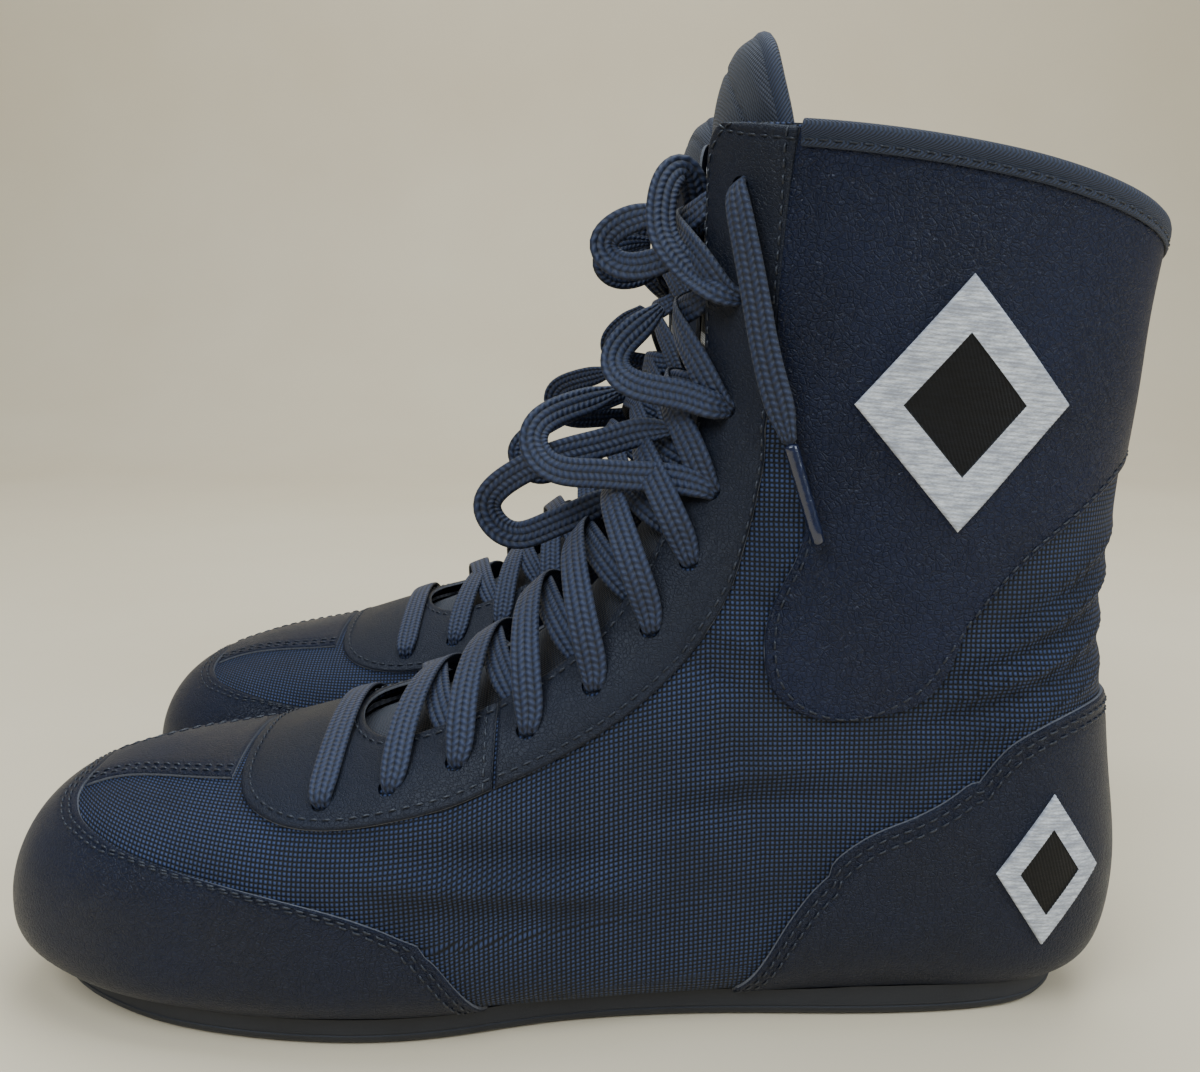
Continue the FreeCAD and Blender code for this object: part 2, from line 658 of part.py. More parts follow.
# ---------------------------------------------------------------------------------------------
# Outsole, insole board and sockliner: flat sheets cut to the foot's outline
# ---------------------------------------------------------------------------------------------
OUTLINE_OUTER = [(9.0, 8.5), (11.0, -4.5), (18.0, -17.5), (31.0, -27.2), (49.5, -35.5), (72.5, -41.2),
                 (98.0, -43.3), (122.0, -40.4), (148.0, -34.0), (185.0, -30.5), (225.0, -30.5),
                 (257.0, -27.8), (275.0, -19.0), (283.0, 0.0)]
OUTLINE_INNER = [(275.0, 19.0), (257.0, 27.3), (225.0, 29.5), (185.0, 28.2), (148.0, 30.6), (120.0, 38.0),
                 (92.0, 42.8), (66.5, 43.8), (43.0, 41.0), (25.0, 34.2), (13.5, 23.0)]
OUTLINE = OUTLINE_OUTER + OUTLINE_INNER


def inset_outline(inset):
    """The foot's outline moved inwards."""
    moved = []
    for k, (x, y) in enumerate(OUTLINE):
        ax, ay = OUTLINE[k - 1]
        bx, by = OUTLINE[(k + 1) % len(OUTLINE)]
        dx, dy = bx - ax, by - ay
        length = math.hypot(dx, dy)
        moved.append(V(x - dy / length * inset, y + dx / length * inset, 0.0) + FRAME_SHIFT)
    return moved


def origin_plane(body, role):
    return [f for f in body.Origin.OriginFeatures if f.Role == role][0]


def sheet_body(name, inset, thick_alias, base_expression):
    """A flat sheet of the foot's outline, padded from a sketch."""
    body = doc.addObject("PartDesign::Body", "left_" + name)
    body.Label = "left_" + name
    sketch = body.newObject("Sketcher::SketchObject", name + "_outline")
    sketch.AttachmentSupport = (origin_plane(body, "XY_Plane"), [""])
    sketch.MapMode = "FlatFace"
    curve = Part.BSplineCurve()
    curve.interpolate(Points=inset_outline(inset), PeriodicFlag=True)
    sketch.addGeometry(curve, False)
    pad = body.newObject("PartDesign::Pad", name + "_pad")
    pad.Profile = sketch
    pad.setExpression("Length", thick_alias)
    body.setExpression("Placement.Base.z", base_expression)
    LEFT_NODES.append(body)
    return body, pad


def profile_pocket(body, name, corners):
    """Cut a side-view outline right through the body, both ways from its middle."""
    sketch = body.newObject("Sketcher::SketchObject", name + "_profile")
    sketch.AttachmentSupport = (origin_plane(body, "XZ_Plane"), [""])
    sketch.MapMode = "FlatFace"
    for item in corners:
        sketch.addGeometry(item, False)
    pocket = body.newObject("PartDesign::Pocket", name + "_pocket")
    pocket.Profile = sketch
    pocket.Type = "ThroughAll"
    pocket.Midplane = True
    return pocket


outsole, outsole_pad = sheet_body("outsole", 0.0, "dimensions.outsole_thick + dimensions.toe_spring", "0 mm")
toe = -size("toe_reach")
spring, thick = size("toe_spring"), size("outsole_thick")
SPRING_START, SPRING_REACH = 52.0, 60.0


def spring_arc(height):
    """The toe spring: an arc that leaves the flat at SPRING_START and lifts the toe tip."""
    start = V(toe + SPRING_START, height, 0.0)
    middle = V(toe + SPRING_START - SPRING_REACH * 0.5, height + spring * 0.25, 0.0)
    end = V(toe + SPRING_START - SPRING_REACH, height + spring, 0.0)
    return Part.Arc(start, middle, end), start, end


under_arc, under_start, under_end = spring_arc(0.0)
below = V(under_end.x, -2.0, 0.0)
below_right = V(under_start.x, -2.0, 0.0)
under = [under_arc, Part.LineSegment(under_end, below), Part.LineSegment(below, below_right),
         Part.LineSegment(below_right, under_start)]
profile_pocket(outsole, "outsole_under", under)
over_arc, over_start, over_end = spring_arc(thick)
heel_far = V(toe + 300.0, thick, 0.0)
heel_high = V(heel_far.x, thick + spring + 2.0, 0.0)
toe_high = V(over_end.x, thick + spring + 2.0, 0.0)
over = [over_arc, Part.LineSegment(over_end, toe_high), Part.LineSegment(toe_high, heel_high),
        Part.LineSegment(heel_high, heel_far), Part.LineSegment(heel_far, over_start)]
profile_pocket(outsole, "outsole_over", over)

sheet_body("insole_board", size("board_inset") + 3.0, "dimensions.board_thick", "dimensions.board_base")
sheet_body("sockliner", size("sock_inset"), "dimensions.sock_thick",
           "dimensions.board_base + dimensions.board_thick + dimensions.layer_gap")

doc.recompute()

# ---------------------------------------------------------------------------------------------
# The right boot, and export
# ---------------------------------------------------------------------------------------------
RIGHT_NODES = []
for source in LEFT_NODES:
    mirror = doc.addObject("Part::Mirroring", source.Label.replace("left_", "right_"))
    mirror.Source = source
    mirror.Base = V(0, 0, 0)
    mirror.Normal = V(0, 1, 0)
    mirror.Label = source.Label.replace("left_", "right_")
    RIGHT_NODES.append(mirror)
doc.recompute()

for item in doc.Objects:
    if "Invalid" in item.State or "Error" in item.State:
        raise RuntimeError(f"{item.Label} did not build: {item.State}")

os.makedirs("parts", exist_ok=True)
for node in LEFT_NODES + RIGHT_NODES:
    shape = node.Shape
    if shape.isNull() or not shape.isValid():
        raise RuntimeError(f"{node.Label} is not a valid shape")
    shape.exportStep(f"parts/{node.Label}.step")
    box = shape.BoundBox
    print(f"{node.Label}: {len(shape.Solids)} solid(s), {shape.Volume:.0f} mm3,"
          f" z {box.ZMin:.1f} to {box.ZMax:.1f}, x {box.XMin:.1f} to {box.XMax:.1f}")
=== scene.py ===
"""A pair of high-top boxing boots: lasted mesh uppers, leather overlays, padded tongues, flat laces."""
import json
import math
import bmesh
import bpy
import numpy as np
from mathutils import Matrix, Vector


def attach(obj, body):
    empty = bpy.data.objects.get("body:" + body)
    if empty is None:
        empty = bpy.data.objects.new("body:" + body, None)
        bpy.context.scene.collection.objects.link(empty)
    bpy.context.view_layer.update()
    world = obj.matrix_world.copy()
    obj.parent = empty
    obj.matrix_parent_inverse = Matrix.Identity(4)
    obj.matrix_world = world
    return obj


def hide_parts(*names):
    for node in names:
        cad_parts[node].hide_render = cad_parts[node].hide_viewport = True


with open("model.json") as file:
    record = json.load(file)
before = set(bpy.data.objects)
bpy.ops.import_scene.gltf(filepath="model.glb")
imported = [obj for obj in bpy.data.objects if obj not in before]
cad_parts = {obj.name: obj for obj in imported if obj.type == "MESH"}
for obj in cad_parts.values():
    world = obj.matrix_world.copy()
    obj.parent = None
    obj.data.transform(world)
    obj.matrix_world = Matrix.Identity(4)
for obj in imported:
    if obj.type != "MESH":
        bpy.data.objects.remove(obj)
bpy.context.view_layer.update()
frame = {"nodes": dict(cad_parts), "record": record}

# =============================================================================================
# Insole board
# The boot's inner foundation: 2 mm of pressed fibre board cut to the sole's outline, which the
# upper is pulled round and glued under.
# =============================================================================================
MM = 0.001
BOOTS = ("left", "right")


def linear(code):
    """A linear colour from an sRGB hex value."""
    parts = [int(code[k:k + 2], 16) / 255.0 for k in (0, 2, 4)]
    return tuple(c / 12.92 if c <= 0.04045 else ((c + 0.055) / 1.055) ** 2.4 for c in parts) + (1.0,)


def node(tree, kind, inputs, output=0, **settings):
    """Add a shader node with its settings, set or link its inputs, and give one of its outputs."""
    made = tree.nodes.get(kind) or tree.nodes.new(kind)
    for key, value in settings.items():
        setattr(made, key, value)
    for key, value in inputs.items():
        if isinstance(value, bpy.types.NodeSocket):
            tree.links.new(value, made.inputs[key])
        else:
            made.inputs[key].default_value = value
    return made.outputs[output]


def new_material(name):
    """A new material and its node tree."""
    made = bpy.data.materials.new(name)
    made.use_nodes = True
    return made, made.node_tree


board_fibre, tree = new_material("pressed_fibre_board")
# Pressed wood fibre: pale brown, matt, with short fibres about 1 mm long.
fibres = node(tree, "ShaderNodeTexNoise", {"Scale": 900.0, "Detail": 4.0, "Vector": node(
    tree, "ShaderNodeTexCoord", {}, "Object")})
fibre_colour = node(tree, "ShaderNodeMix", {0: fibres, 6: linear("8f7f69"), 7: linear("ab9a80")}, 2, data_type="RGBA")
grit = node(tree, "ShaderNodeBump", {"Height": fibres, "Distance": 0.0001})
node(tree, "Principled BSDF", {"Base Color": fibre_colour, "Roughness": 0.85, "Normal": grit})
for boot in BOOTS:
    for slot in frame["nodes"][f"{boot}_insole_board"].material_slots:
        slot.material = board_fibre


# =============================================================================================
# Sockliner
# A 3.4 mm foam sheet faced with brushed polyester knit, cut to the inside outline and glued in.
# =============================================================================================
TOE_REACH = 147.2                                     # toe tip of the boot, ahead of the origin
HALF_PITCH = -frame["record"]["mounts"][0]["pos_m"][1] / MM
SHIFT = np.array([-TOE_REACH, -HALF_PITCH, 0.0])
SOLE_OUTLINE = np.array([
    (9.0, 8.5), (11.0, -4.5), (18.0, -17.5), (31.0, -27.2), (49.5, -35.5), (72.5, -41.2), (98.0, -43.3),
    (122.0, -40.4), (148.0, -34.0), (185.0, -30.5), (225.0, -30.5), (257.0, -27.8), (275.0, -19.0),
    (283.0, 0.0), (275.0, 19.0), (257.0, 27.3), (225.0, 29.5), (185.0, 28.2), (148.0, 30.6), (120.0, 38.0),
    (92.0, 42.8), (66.5, 43.8), (43.0, 41.0), (25.0, 34.2), (13.5, 23.0)])


def bends(values):
    """Second differences of the natural cubic spline through equally spaced rows of values."""
    values = np.asarray(values, float)
    count = len(values) - 2
    matrix = 4.0 * np.eye(count) + np.eye(count, k=1) + np.eye(count, k=-1)
    inner = np.linalg.solve(matrix, 6.0 * (values[2:] - 2.0 * values[1:-1] + values[:-2]))
    zero = np.zeros_like(values[:1])
    return np.concatenate([zero, inner, zero])


def spline(values, place, curve=None):
    """Natural cubic spline at places counted in rows: linear blend minus t(1-t)/6 of the bends."""
    values = np.asarray(values, float)
    curve = bends(values) if curve is None else curve
    place = np.asarray(place, float)
    k = np.clip(place.astype(int), 0, len(values) - 2)
    t = place - k
    if values.ndim > 1:
        t = t[..., None]
    bend = (2.0 - t) * curve[k] + (1.0 + t) * curve[k + 1]
    return values[k] * (1.0 - t) + values[k + 1] * t - t * (1.0 - t) / 6.0 * bend


def run_length(line):
    """Distance along a line of points, at each of them."""
    return np.concatenate([[0.0], np.cumsum(np.linalg.norm(np.diff(line, axis=0), axis=1))])


def between_rows(places, at, rows):
    """Rows of values, given at rising places, blended linearly to other places."""
    return np.stack([np.interp(places, at, rows[:, c]) for c in range(rows.shape[1])], -1)


def closed_outline(count, inset):
    """The sole's outline as a closed spline, moved inwards, at equal steps of its length."""
    wrapped = np.concatenate([SOLE_OUTLINE[-4:], SOLE_OUTLINE, SOLE_OUTLINE[:5]])
    dense = spline(wrapped, np.linspace(4.0, 4.0 + len(SOLE_OUTLINE), 1600))
    step = run_length(dense)
    line = between_rows(np.linspace(0.0, step[-1], count + 1)[:-1], step, dense)
    tangent = np.roll(line, -1, axis=0) - np.roll(line, 1, axis=0)
    tangent /= np.linalg.norm(tangent, axis=1, keepdims=True)
    return line + np.stack([-tangent[:, 1], tangent[:, 0]], -1) * inset


def middle_line(count):
    """For each outline point, the nearest place on the foot's middle line, from ball to heel."""
    x = np.clip(closed_outline(count, 0.0)[:, 0], 44.0, 250.0)
    return np.stack([x, np.interp(x, [44.0, 90.0, 150.0, 250.0], [4.0, 0.0, -1.0, 0.0])], -1)


def grid_quads(rows, columns, start=0):
    """Vertex numbers of the quads of a grid that is stored row by row."""
    first = start + np.arange(rows - 1)[:, None] * columns + np.arange(columns - 1)[None, :]
    return np.stack([first, first + columns, first + columns + 1, first + 1], -1).reshape(-1, 4)


def mesh_object(name, points, quads, uv=None, flip=False):
    """A mesh object in metres at the origin; points are millimetres from the left boot's toe tip.

    With flip the piece is mirrored to the right boot and its faces turned to match.
    """
    place = (points + SHIFT) * MM
    if flip:
        place = place * (1.0, -1.0, 1.0)
        quads = quads[:, ::-1]
    mesh = bpy.data.meshes.new(name)
    mesh.vertices.add(len(place))
    mesh.vertices.foreach_set("co", place.astype(np.float32).ravel())
    mesh.loops.add(quads.size)
    mesh.loops.foreach_set("vertex_index", quads.astype(np.int32).ravel())
    mesh.polygons.add(len(quads))
    mesh.polygons.foreach_set("loop_start", np.arange(0, quads.size, quads.shape[1], dtype=np.int32))
    mesh.update(calc_edges=True)
    if uv is not None:
        layer = mesh.uv_layers.new(name="UVMap")
        layer.data.foreach_set("uv", uv[quads.ravel()].astype(np.float32).ravel())
    mesh.validate()
    mesh.polygons.foreach_set("use_smooth", np.ones(len(mesh.polygons), dtype=bool))
    mesh.set_sharp_from_angle(angle=math.radians(48.0))
    piece = bpy.data.objects.new(name, mesh)
    bpy.context.scene.collection.objects.link(piece)
    return piece


def pair(name, points, quads, material, slot, part="boot", uv=None, stands_for=None):
    """The same piece on both boots: made, finished, and riding on its boot or tongue."""
    made = []
    for boot in BOOTS:
        piece = mesh_object(f"{boot}_{name}", points, quads, uv, flip=boot == "right")
        piece.data.materials.append(material)
        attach(piece, f"{boot}_{part}")
        if stands_for:
            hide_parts(*[f"{boot}_{node}" for node in stands_for])
        made.append(piece)
    return made


SOCK_LOW, SOCK_HIGH, SOCK_INSET = 11.2, 14.5, 6.0
sock_middle = middle_line(240)
sock_rings = [np.concatenate([sock_middle, np.full((240, 1), SOCK_LOW)], axis=1)]
for inset, height in [(SOCK_INSET + 0.6, SOCK_LOW), (SOCK_INSET, SOCK_LOW + 0.8), (SOCK_INSET, SOCK_HIGH - 0.9),
                      (SOCK_INSET + 0.7, SOCK_HIGH - 0.1), (SOCK_INSET + 2.0, SOCK_HIGH)]:
    sock_rings.append(np.concatenate([closed_outline(240, inset), np.full((240, 1), height)], axis=1))
for share in np.linspace(0.1, 1.0, 10):
    ring = closed_outline(240, SOCK_INSET + 2.0)
    crown = SOCK_HIGH - 0.4 * np.sin(math.pi * share) ** 2
    sock_rings.append(np.concatenate([ring + (sock_middle - ring) * share, np.full((240, 1), crown)], axis=1))
sock = np.array(sock_rings)
sock = np.concatenate([sock, sock[:, :1]], axis=1)

knit_face, tree = new_material("brushed_knit_sockliner")
# Brushed polyester knit: dark and soft, its nap under 1 mm long.
nap = node(tree, "ShaderNodeTexNoise", {"Scale": 1500.0, "Detail": 3.0, "Vector": node(
    tree, "ShaderNodeTexCoord", {}, "Object")})
nap_colour = node(tree, "ShaderNodeMix", {0: nap, 6: linear("121319"), 7: linear("343744")}, 2, data_type="RGBA")
node(tree, "Principled BSDF", {"Base Color": nap_colour, "Roughness": 0.9, "Sheen Weight": 0.3,
                               "Normal": node(tree, "ShaderNodeBump", {"Height": nap, "Distance": 0.00025})})
for piece in pair("sockliner_pad", sock.reshape(-1, 3), grid_quads(*sock.shape[:2])[:, ::-1], knit_face,
                  "sockliner_foam", stands_for=["sockliner"]):
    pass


# =============================================================================================
# Lining
# Black warp-knit polyester, pulled with the mesh over a foot-shaped last, so that every sheet of
# the boot lies on one surface: oval sections that fan from the toe, round the ankle, to the collar.
# =============================================================================================
# lower point x, z; upper point x, z; sideways shift; half width; share of the height at which it
# is widest; roundness above and below (2 is an ellipse, more is boxier). Millimetres from the toe tip.
STATIONS = np.array([
    (0.0, 25.0, 0.0, 25.0, 10.0, 0.0, 0.42, 2.1, 2.3),
    (2.2, 14.8, 2.2, 37.0, 10.0, 18.5, 0.42, 2.1, 2.3),
    (9.0, 9.4, 9.0, 46.5, 9.0, 31.5, 0.42, 2.1, 2.7),
    (20.5, 6.8, 22.0, 54.0, 8.0, 40.5, 0.41, 2.1, 3.2),
    (39.0, 5.6, 41.0, 59.5, 6.0, 46.5, 0.38, 2.1, 4.0),
    (63.0, 5.2, 67.0, 64.5, 3.5, 50.0, 0.35, 2.1, 4.6),
    (90.0, 5.2, 96.0, 72.5, 1.0, 51.0, 0.32, 2.1, 4.8),
    (118.0, 5.2, 123.0, 84.5, 0.0, 48.5, 0.29, 2.1, 4.8),
    (147.0, 5.2, 146.0, 101.0, 0.0, 44.0, 0.26, 2.1, 4.6),
    (178.0, 5.2, 162.5, 120.0, 0.0, 40.5, 0.25, 2.1, 4.5),
    (210.0, 5.2, 172.5, 137.0, 0.0, 38.5, 0.26, 2.1, 4.2),
    (242.0, 5.2, 177.5, 150.0, 0.0, 37.5, 0.28, 2.15, 4.2),
    (269.0, 5.9, 179.8, 160.5, 0.0, 37.0, 0.31, 2.2, 4.0),
    (286.0, 13.5, 180.6, 168.5, 0.0, 36.5, 0.35, 2.2, 3.5),
    (292.0, 33.0, 181.0, 176.5, 0.0, 37.0, 0.40, 2.2, 2.9),
    (291.5, 56.0, 181.2, 184.5, 0.0, 37.5, 0.43, 2.2, 2.5),
    (288.5, 80.0, 181.3, 192.0, 0.0, 38.0, 0.45, 2.2, 2.4),
    (287.0, 105.0, 181.4, 199.5, 0.0, 38.5, 0.47, 2.2, 2.3),
    (288.5, 133.0, 181.5, 207.0, 0.0, 39.5, 0.48, 2.2, 2.3),
    (291.0, 163.0, 181.7, 214.0, 0.0, 40.5, 0.49, 2.2, 2.3),
    (294.5, 193.0, 182.2, 221.0, 0.0, 41.5, 0.50, 2.2, 2.3),
    (298.0, 222.0, 183.2, 229.0, 0.0, 42.5, 0.50, 2.2, 2.3),
    (301.0, 250.0, 186.0, 238.0, 0.0, 43.0, 0.50, 2.2, 2.3),
    (303.0, 275.0, 190.5, 246.0, 0.0, 43.0, 0.50, 2.2, 2.3),
])
LAST_STATION = len(STATIONS) - 1
COLLAR, COLLAR_CROWN = 20.0, 0.33     # station of the collar edge, and its rise at the sides


STATION_BENDS = bends(STATIONS)


def section_points(station, angle):
    """Superellipse sections: angle 0 is the upper point, pi the lower one, positive the inner side."""
    low_x, low_z, top_x, top_z, shift, half, wide, up, down = np.moveaxis(
        spline(STATIONS, station, STATION_BENDS), -1, 0)
    cosine = np.cos(angle)
    power = 2.0 / (down + (up - down) * (1.0 + cosine) / 2.0)
    rise = np.sign(cosine) * np.abs(cosine) ** power
    share = np.where(cosine >= 0.0, wide + (1.0 - wide) * rise, wide + wide * rise)
    side = half * np.sign(np.sin(angle)) * np.abs(np.sin(angle)) ** power
    return np.stack([low_x + (top_x - low_x) * share, shift + side, low_z + (top_z - low_z) * share], -1)


# Half girths and the angles at equal arc shares, for eight rows to a station.
ROWS, FINE, KEPT = 8, 240, 60
row_stations = np.maximum(np.arange(LAST_STATION * ROWS + 1) / ROWS, 0.004)
fine_angles = np.linspace(0.0, math.pi, FINE + 1)
loops = section_points(*np.broadcast_arrays(row_stations[:, None], fine_angles[None, :]))
arcs = np.concatenate([np.zeros((len(loops), 1)),
                       np.cumsum(np.linalg.norm(np.diff(loops, axis=1), axis=-1), axis=1)], axis=1)
HALF_GIRTHS = arcs[:, -1]
SECTION_ANGLES = np.array([np.interp(np.linspace(0, 1, KEPT + 1), arc / arc[-1], fine_angles) for arc in arcs])
SECTION_ANGLE_BENDS = bends(SECTION_ANGLES.T)


def girth(station):
    """Length of a section from its upper to its lower point, along one side, in millimetres."""
    return np.interp(station, np.arange(len(HALF_GIRTHS)) / ROWS, HALF_GIRTHS)


def lasted(station, share):
    """The smooth lasted surface. share 0 is the top line, -1 and 1 the bottom line by the two sides."""
    station, share = np.broadcast_arrays(np.asarray(station, float), np.asarray(share, float))
    share = (share + 1.0) % 2.0 - 1.0
    station = np.clip(station, 0.004, LAST_STATION)
    place = np.clip(station * ROWS, 0, len(SECTION_ANGLES) - 1.0001)
    row = place.astype(int)
    part = np.abs(share) * KEPT
    k = np.clip(part.astype(int), 0, KEPT - 1)
    t = part - k
    angle = 0.0
    for step, weight in ((0, 1.0 - (place - row)), (1, place - row)):
        low, high = SECTION_ANGLES[row + step, k], SECTION_ANGLES[row + step, k + 1]
        c0, c1 = SECTION_ANGLE_BENDS[k, row + step], SECTION_ANGLE_BENDS[k + 1, row + step]
        bend = (2.0 - t) * c0 + (1.0 + t) * c1
        angle = angle + weight * (low * (1.0 - t) + high * t - t * (1.0 - t) / 6.0 * bend)
    return section_points(station, np.sign(share) * angle)


def cross_unit(a, b):
    """Unit vectors square to two sets of vectors."""
    c = np.cross(a, b)
    return c / np.maximum(np.linalg.norm(c, axis=-1, keepdims=True), 1e-9)


def outward(station, share, surface=lasted):
    """Outward unit normals, from small steps along and across."""
    station = np.clip(station, 0.06, LAST_STATION - 0.04)
    along = surface(station + 0.03, share) - surface(station - 0.03, share)
    across = surface(station, share + 0.006) - surface(station, share - 0.006)
    return cross_unit(along, across)


# Folds of the worn-in upper, in a side view: start x, z; end x, z; half width; height.
FOLDS = [
    (104.0, 46.0, 166.0, 39.0, 3.2, 2.25), (100.0, 53.0, 172.0, 48.0, 4.0, -1.35),
    (110.0, 37.0, 150.0, 33.0, 4.0, -0.9), (176.0, 66.0, 214.0, 72.0, 3.0, 1.35),
    (168.0, 58.0, 226.0, 64.0, 3.5, -1.2), (228.0, 70.0, 286.0, 92.0, 2.2, 1.35),
    (226.0, 77.0, 286.0, 98.0, 2.4, -1.35), (236.0, 84.0, 287.0, 103.0, 2.2, 1.65),
    (240.0, 91.0, 287.0, 109.0, 2.2, -1.5), (246.0, 96.0, 288.0, 115.0, 2.2, 1.5),
    (252.0, 103.0, 288.0, 121.0, 2.2, -1.2), (258.0, 108.0, 289.0, 127.0, 2.2, 1.05),
    (196.0, 150.0, 204.0, 152.0, 1.6, 0.75), (196.0, 143.0, 206.0, 144.0, 1.7, -0.75),
    (196.0, 136.0, 208.0, 136.0, 1.6, 0.9), (196.0, 129.0, 208.0, 128.0, 1.6, -0.75),
    (194.0, 121.0, 206.0, 119.0, 1.6, 0.9), (190.0, 112.0, 202.0, 108.0, 1.8, -0.9),
    (184.0, 104.0, 197.0, 97.0, 1.8, 1.2), (178.0, 96.0, 194.0, 88.0, 2.0, -1.05),
]


def crease(point):
    """Sum of soft ridges and valleys along line segments in x and z, plus a faint slow swell."""
    x, z = point[..., 0], point[..., 2]
    total = 0.30 * np.sin(x / 9.0 + z / 14.0) * np.sin(z / 11.0 - x / 17.0)
    total = total + 0.45 * np.sin(x / 31.0 + 1.0) * np.sin(z / 23.0 + x / 60.0)
    for x0, z0, x1, z1, width, height in FOLDS:
        dx, dz = x1 - x0, z1 - z0
        part = np.clip(((x - x0) * dx + (z - z0) * dz) / (dx * dx + dz * dz), 0.0, 1.0)
        gap = (x - x0 - part * dx) ** 2 + (z - z0 - part * dz) ** 2
        total = total + height * (0.35 + 0.65 * np.sin(math.pi * part)) * np.exp(-gap / width ** 2)
    return total * np.clip(z / 20.0, 0.0, 1.0)


def skin(station, share):
    """The lasted surface with the folds of wear in it."""
    point = lasted(station, share)
    return point + outward(station, share) * crease(point)[..., None]


def share_at(station, arc):
    """Share of the section at a distance, in millimetres, from the top line."""
    return arc / girth(station)


def spaced(length, step, rim=(0.25, 0.6, 1.1)):
    """Places from 0 to 1 along a length: regular steps, with closer ones near both cut edges."""
    inner = np.linspace(rim[-1], length - rim[-1], max(int(length / step), 3))
    return np.concatenate([[0.0], rim[:-1], inner, length - np.array(rim[:-1])[::-1], [length]]) / length


def edge_gaps(points):
    """Distances, in millimetres, from each grid point to the four edges, along the grid lines."""
    along = np.linalg.norm(np.diff(points, axis=0), axis=-1)
    across = np.linalg.norm(np.diff(points, axis=1), axis=-1)
    u0 = np.concatenate([np.zeros((1, points.shape[1])), np.cumsum(along, axis=0)])
    v0 = np.concatenate([np.zeros((points.shape[0], 1)), np.cumsum(across, axis=1)], axis=1)
    return {"u0": u0, "u1": u0[-1:] - u0, "v0": v0, "v1": v0[:, -1:] - v0}


def lay(patch, us, vs, low, high, side=1.0, seams=(), rounded=("u0", "u1", "v0", "v1"), lift=None, surface=skin):
    """Outer and inner grids of a sheet between two heights over the skin.

    The outer face rolls down at the cut edges and sinks 0.3 mm along its seams.
    """
    u, v = np.meshgrid(us, vs, indexing="ij")
    station, share = patch(u, v)
    share = share * side
    base = surface(station, share)
    facing = outward(station, share, surface)
    gaps = edge_gaps(base)
    height = np.full(u.shape, float(high))
    for edge in rounded:
        height -= 0.42 * (high - low) * np.clip(1.0 - gaps[edge] / 0.9, 0.0, 1.0) ** 2
    for edge, depth in seams:
        height -= 0.30 * np.exp(-((gaps[edge] - depth) / 0.75) ** 2)
    if lift is not None:
        height += lift(u, v, base)
    outer = base + facing * height[..., None]
    inner = base + facing * low
    return {"outer": outer, "inner": inner, "facing": facing, "station": station, "share": share, "gaps": gaps}


def shell(sheet):
    """Vertices and outward quads of the closed shell of a laid sheet."""
    outer, inner = sheet["outer"], sheet["inner"]
    rows, columns = outer.shape[:2]
    count = rows * columns
    top = grid_quads(rows, columns)
    index = np.arange(count).reshape(rows, columns)
    rim = np.concatenate([index[:, 0], index[-1, 1:], index[-2::-1, -1], index[0, -2:0:-1]])
    after = np.roll(rim, -1)
    wall = np.stack([rim, rim + count, after + count, after], -1)
    quads = np.concatenate([top, top[:, ::-1] + count, wall])
    turn = np.cross(outer[1:, :-1] - outer[:-1, :-1], outer[:-1, 1:] - outer[:-1, :-1])
    if (turn * sheet["facing"][:-1, :-1]).sum() < 0.0:
        quads = quads[:, ::-1]
    return np.concatenate([outer.reshape(-1, 3), inner.reshape(-1, 3)]), quads


def flat_uv(sheet):
    """UV in metres that follows the cloth: x along the boot and height up it.

    It is corrected for the turn over the top of the foot, by the section's arc length, and for the
    turn round the heel, by the arc of a half circle.
    """
    point = sheet["outer"]
    station, share = sheet["station"], sheet["share"]
    x, z = point[..., 0], point[..., 2]
    arc = (1.0 - np.abs(share)) * girth(station)
    widest = 24.0 + 0.0 * arc
    low_arc = np.where(np.abs(share) < 1.0, arc - 42.0, 0.0)
    forward = np.clip((10.0 - station) / 3.0, 0.0, 1.0)
    up = z * (1.0 - forward) + forward * np.where(low_arc > 0.0, np.maximum(low_arc + widest, z), z)
    back_line = np.interp(z, [20.0, 33.0, 56.0, 80.0, 105.0, 133.0, 163.0, 193.0],
                          [289.0, 292.0, 291.5, 288.5, 287.0, 288.5, 291.0, 294.5])
    radius = 37.0
    gap = np.clip(back_line - x, 0.0, None)
    turned = np.where(gap < radius, radius * np.arccos(np.clip(1.0 - gap / radius, -1.0, 1.0)),
                      gap + radius * (math.pi / 2.0 - 1.0))
    uv = np.stack([back_line - turned, up], -1).reshape(-1, 2) * MM
    return np.concatenate([uv, uv])


MARGIN_STATIONS = [0.0, 2.2, 3.2, 4.0, 6.0, 8.0, 10.5, 11.4, 12.0, 12.5, 24.0]
MARGIN_REACH = [0.1, 0.1, 22.0, 32.0, 34.0, 28.0, 25.0, 20.0, 11.0, 0.1, 0.1]
THROAT_STATIONS = [5.9, 6.1, 6.5, 7.1, 7.7, 8.3, 8.9, 9.5, 10.1, 10.9, 11.8, 13.6, 16.6, 20.0, 23.0]
THROAT_REACH = [0.1, 18.0, 26.5, 28.3, 28.8, 29.3, 28.0, 25.0, 21.8, 18.3, 16.0, 14.5, 14.0, 14.0, 14.0]
SIDES = (("outer", -1.0), ("inner", 1.0))


def margin(station):
    """Distance from the bottom or back line to the edge of the upper."""
    return np.interp(station, MARGIN_STATIONS, MARGIN_REACH)


def collar_station(share):
    """Station of the collar edge."""
    return COLLAR + COLLAR_CROWN * np.sin(math.pi * np.clip(np.abs(share), 0.0, 1.0))


def quarter(u, v):
    """One side: from the throat edge down to the margin and back seam, and up to the collar."""
    station = 5.9 + (20.0 - 5.9) * u
    near = (np.interp(station, THROAT_STATIONS, THROAT_REACH) + 4.0) / girth(station)
    share = near + (1.0 - margin(station) / girth(station) - near) * v
    top = collar_station(share) - 0.02
    return np.where(station > 16.0, 16.0 + (top - 16.0) * (station - 16.0) / 4.0, station), share


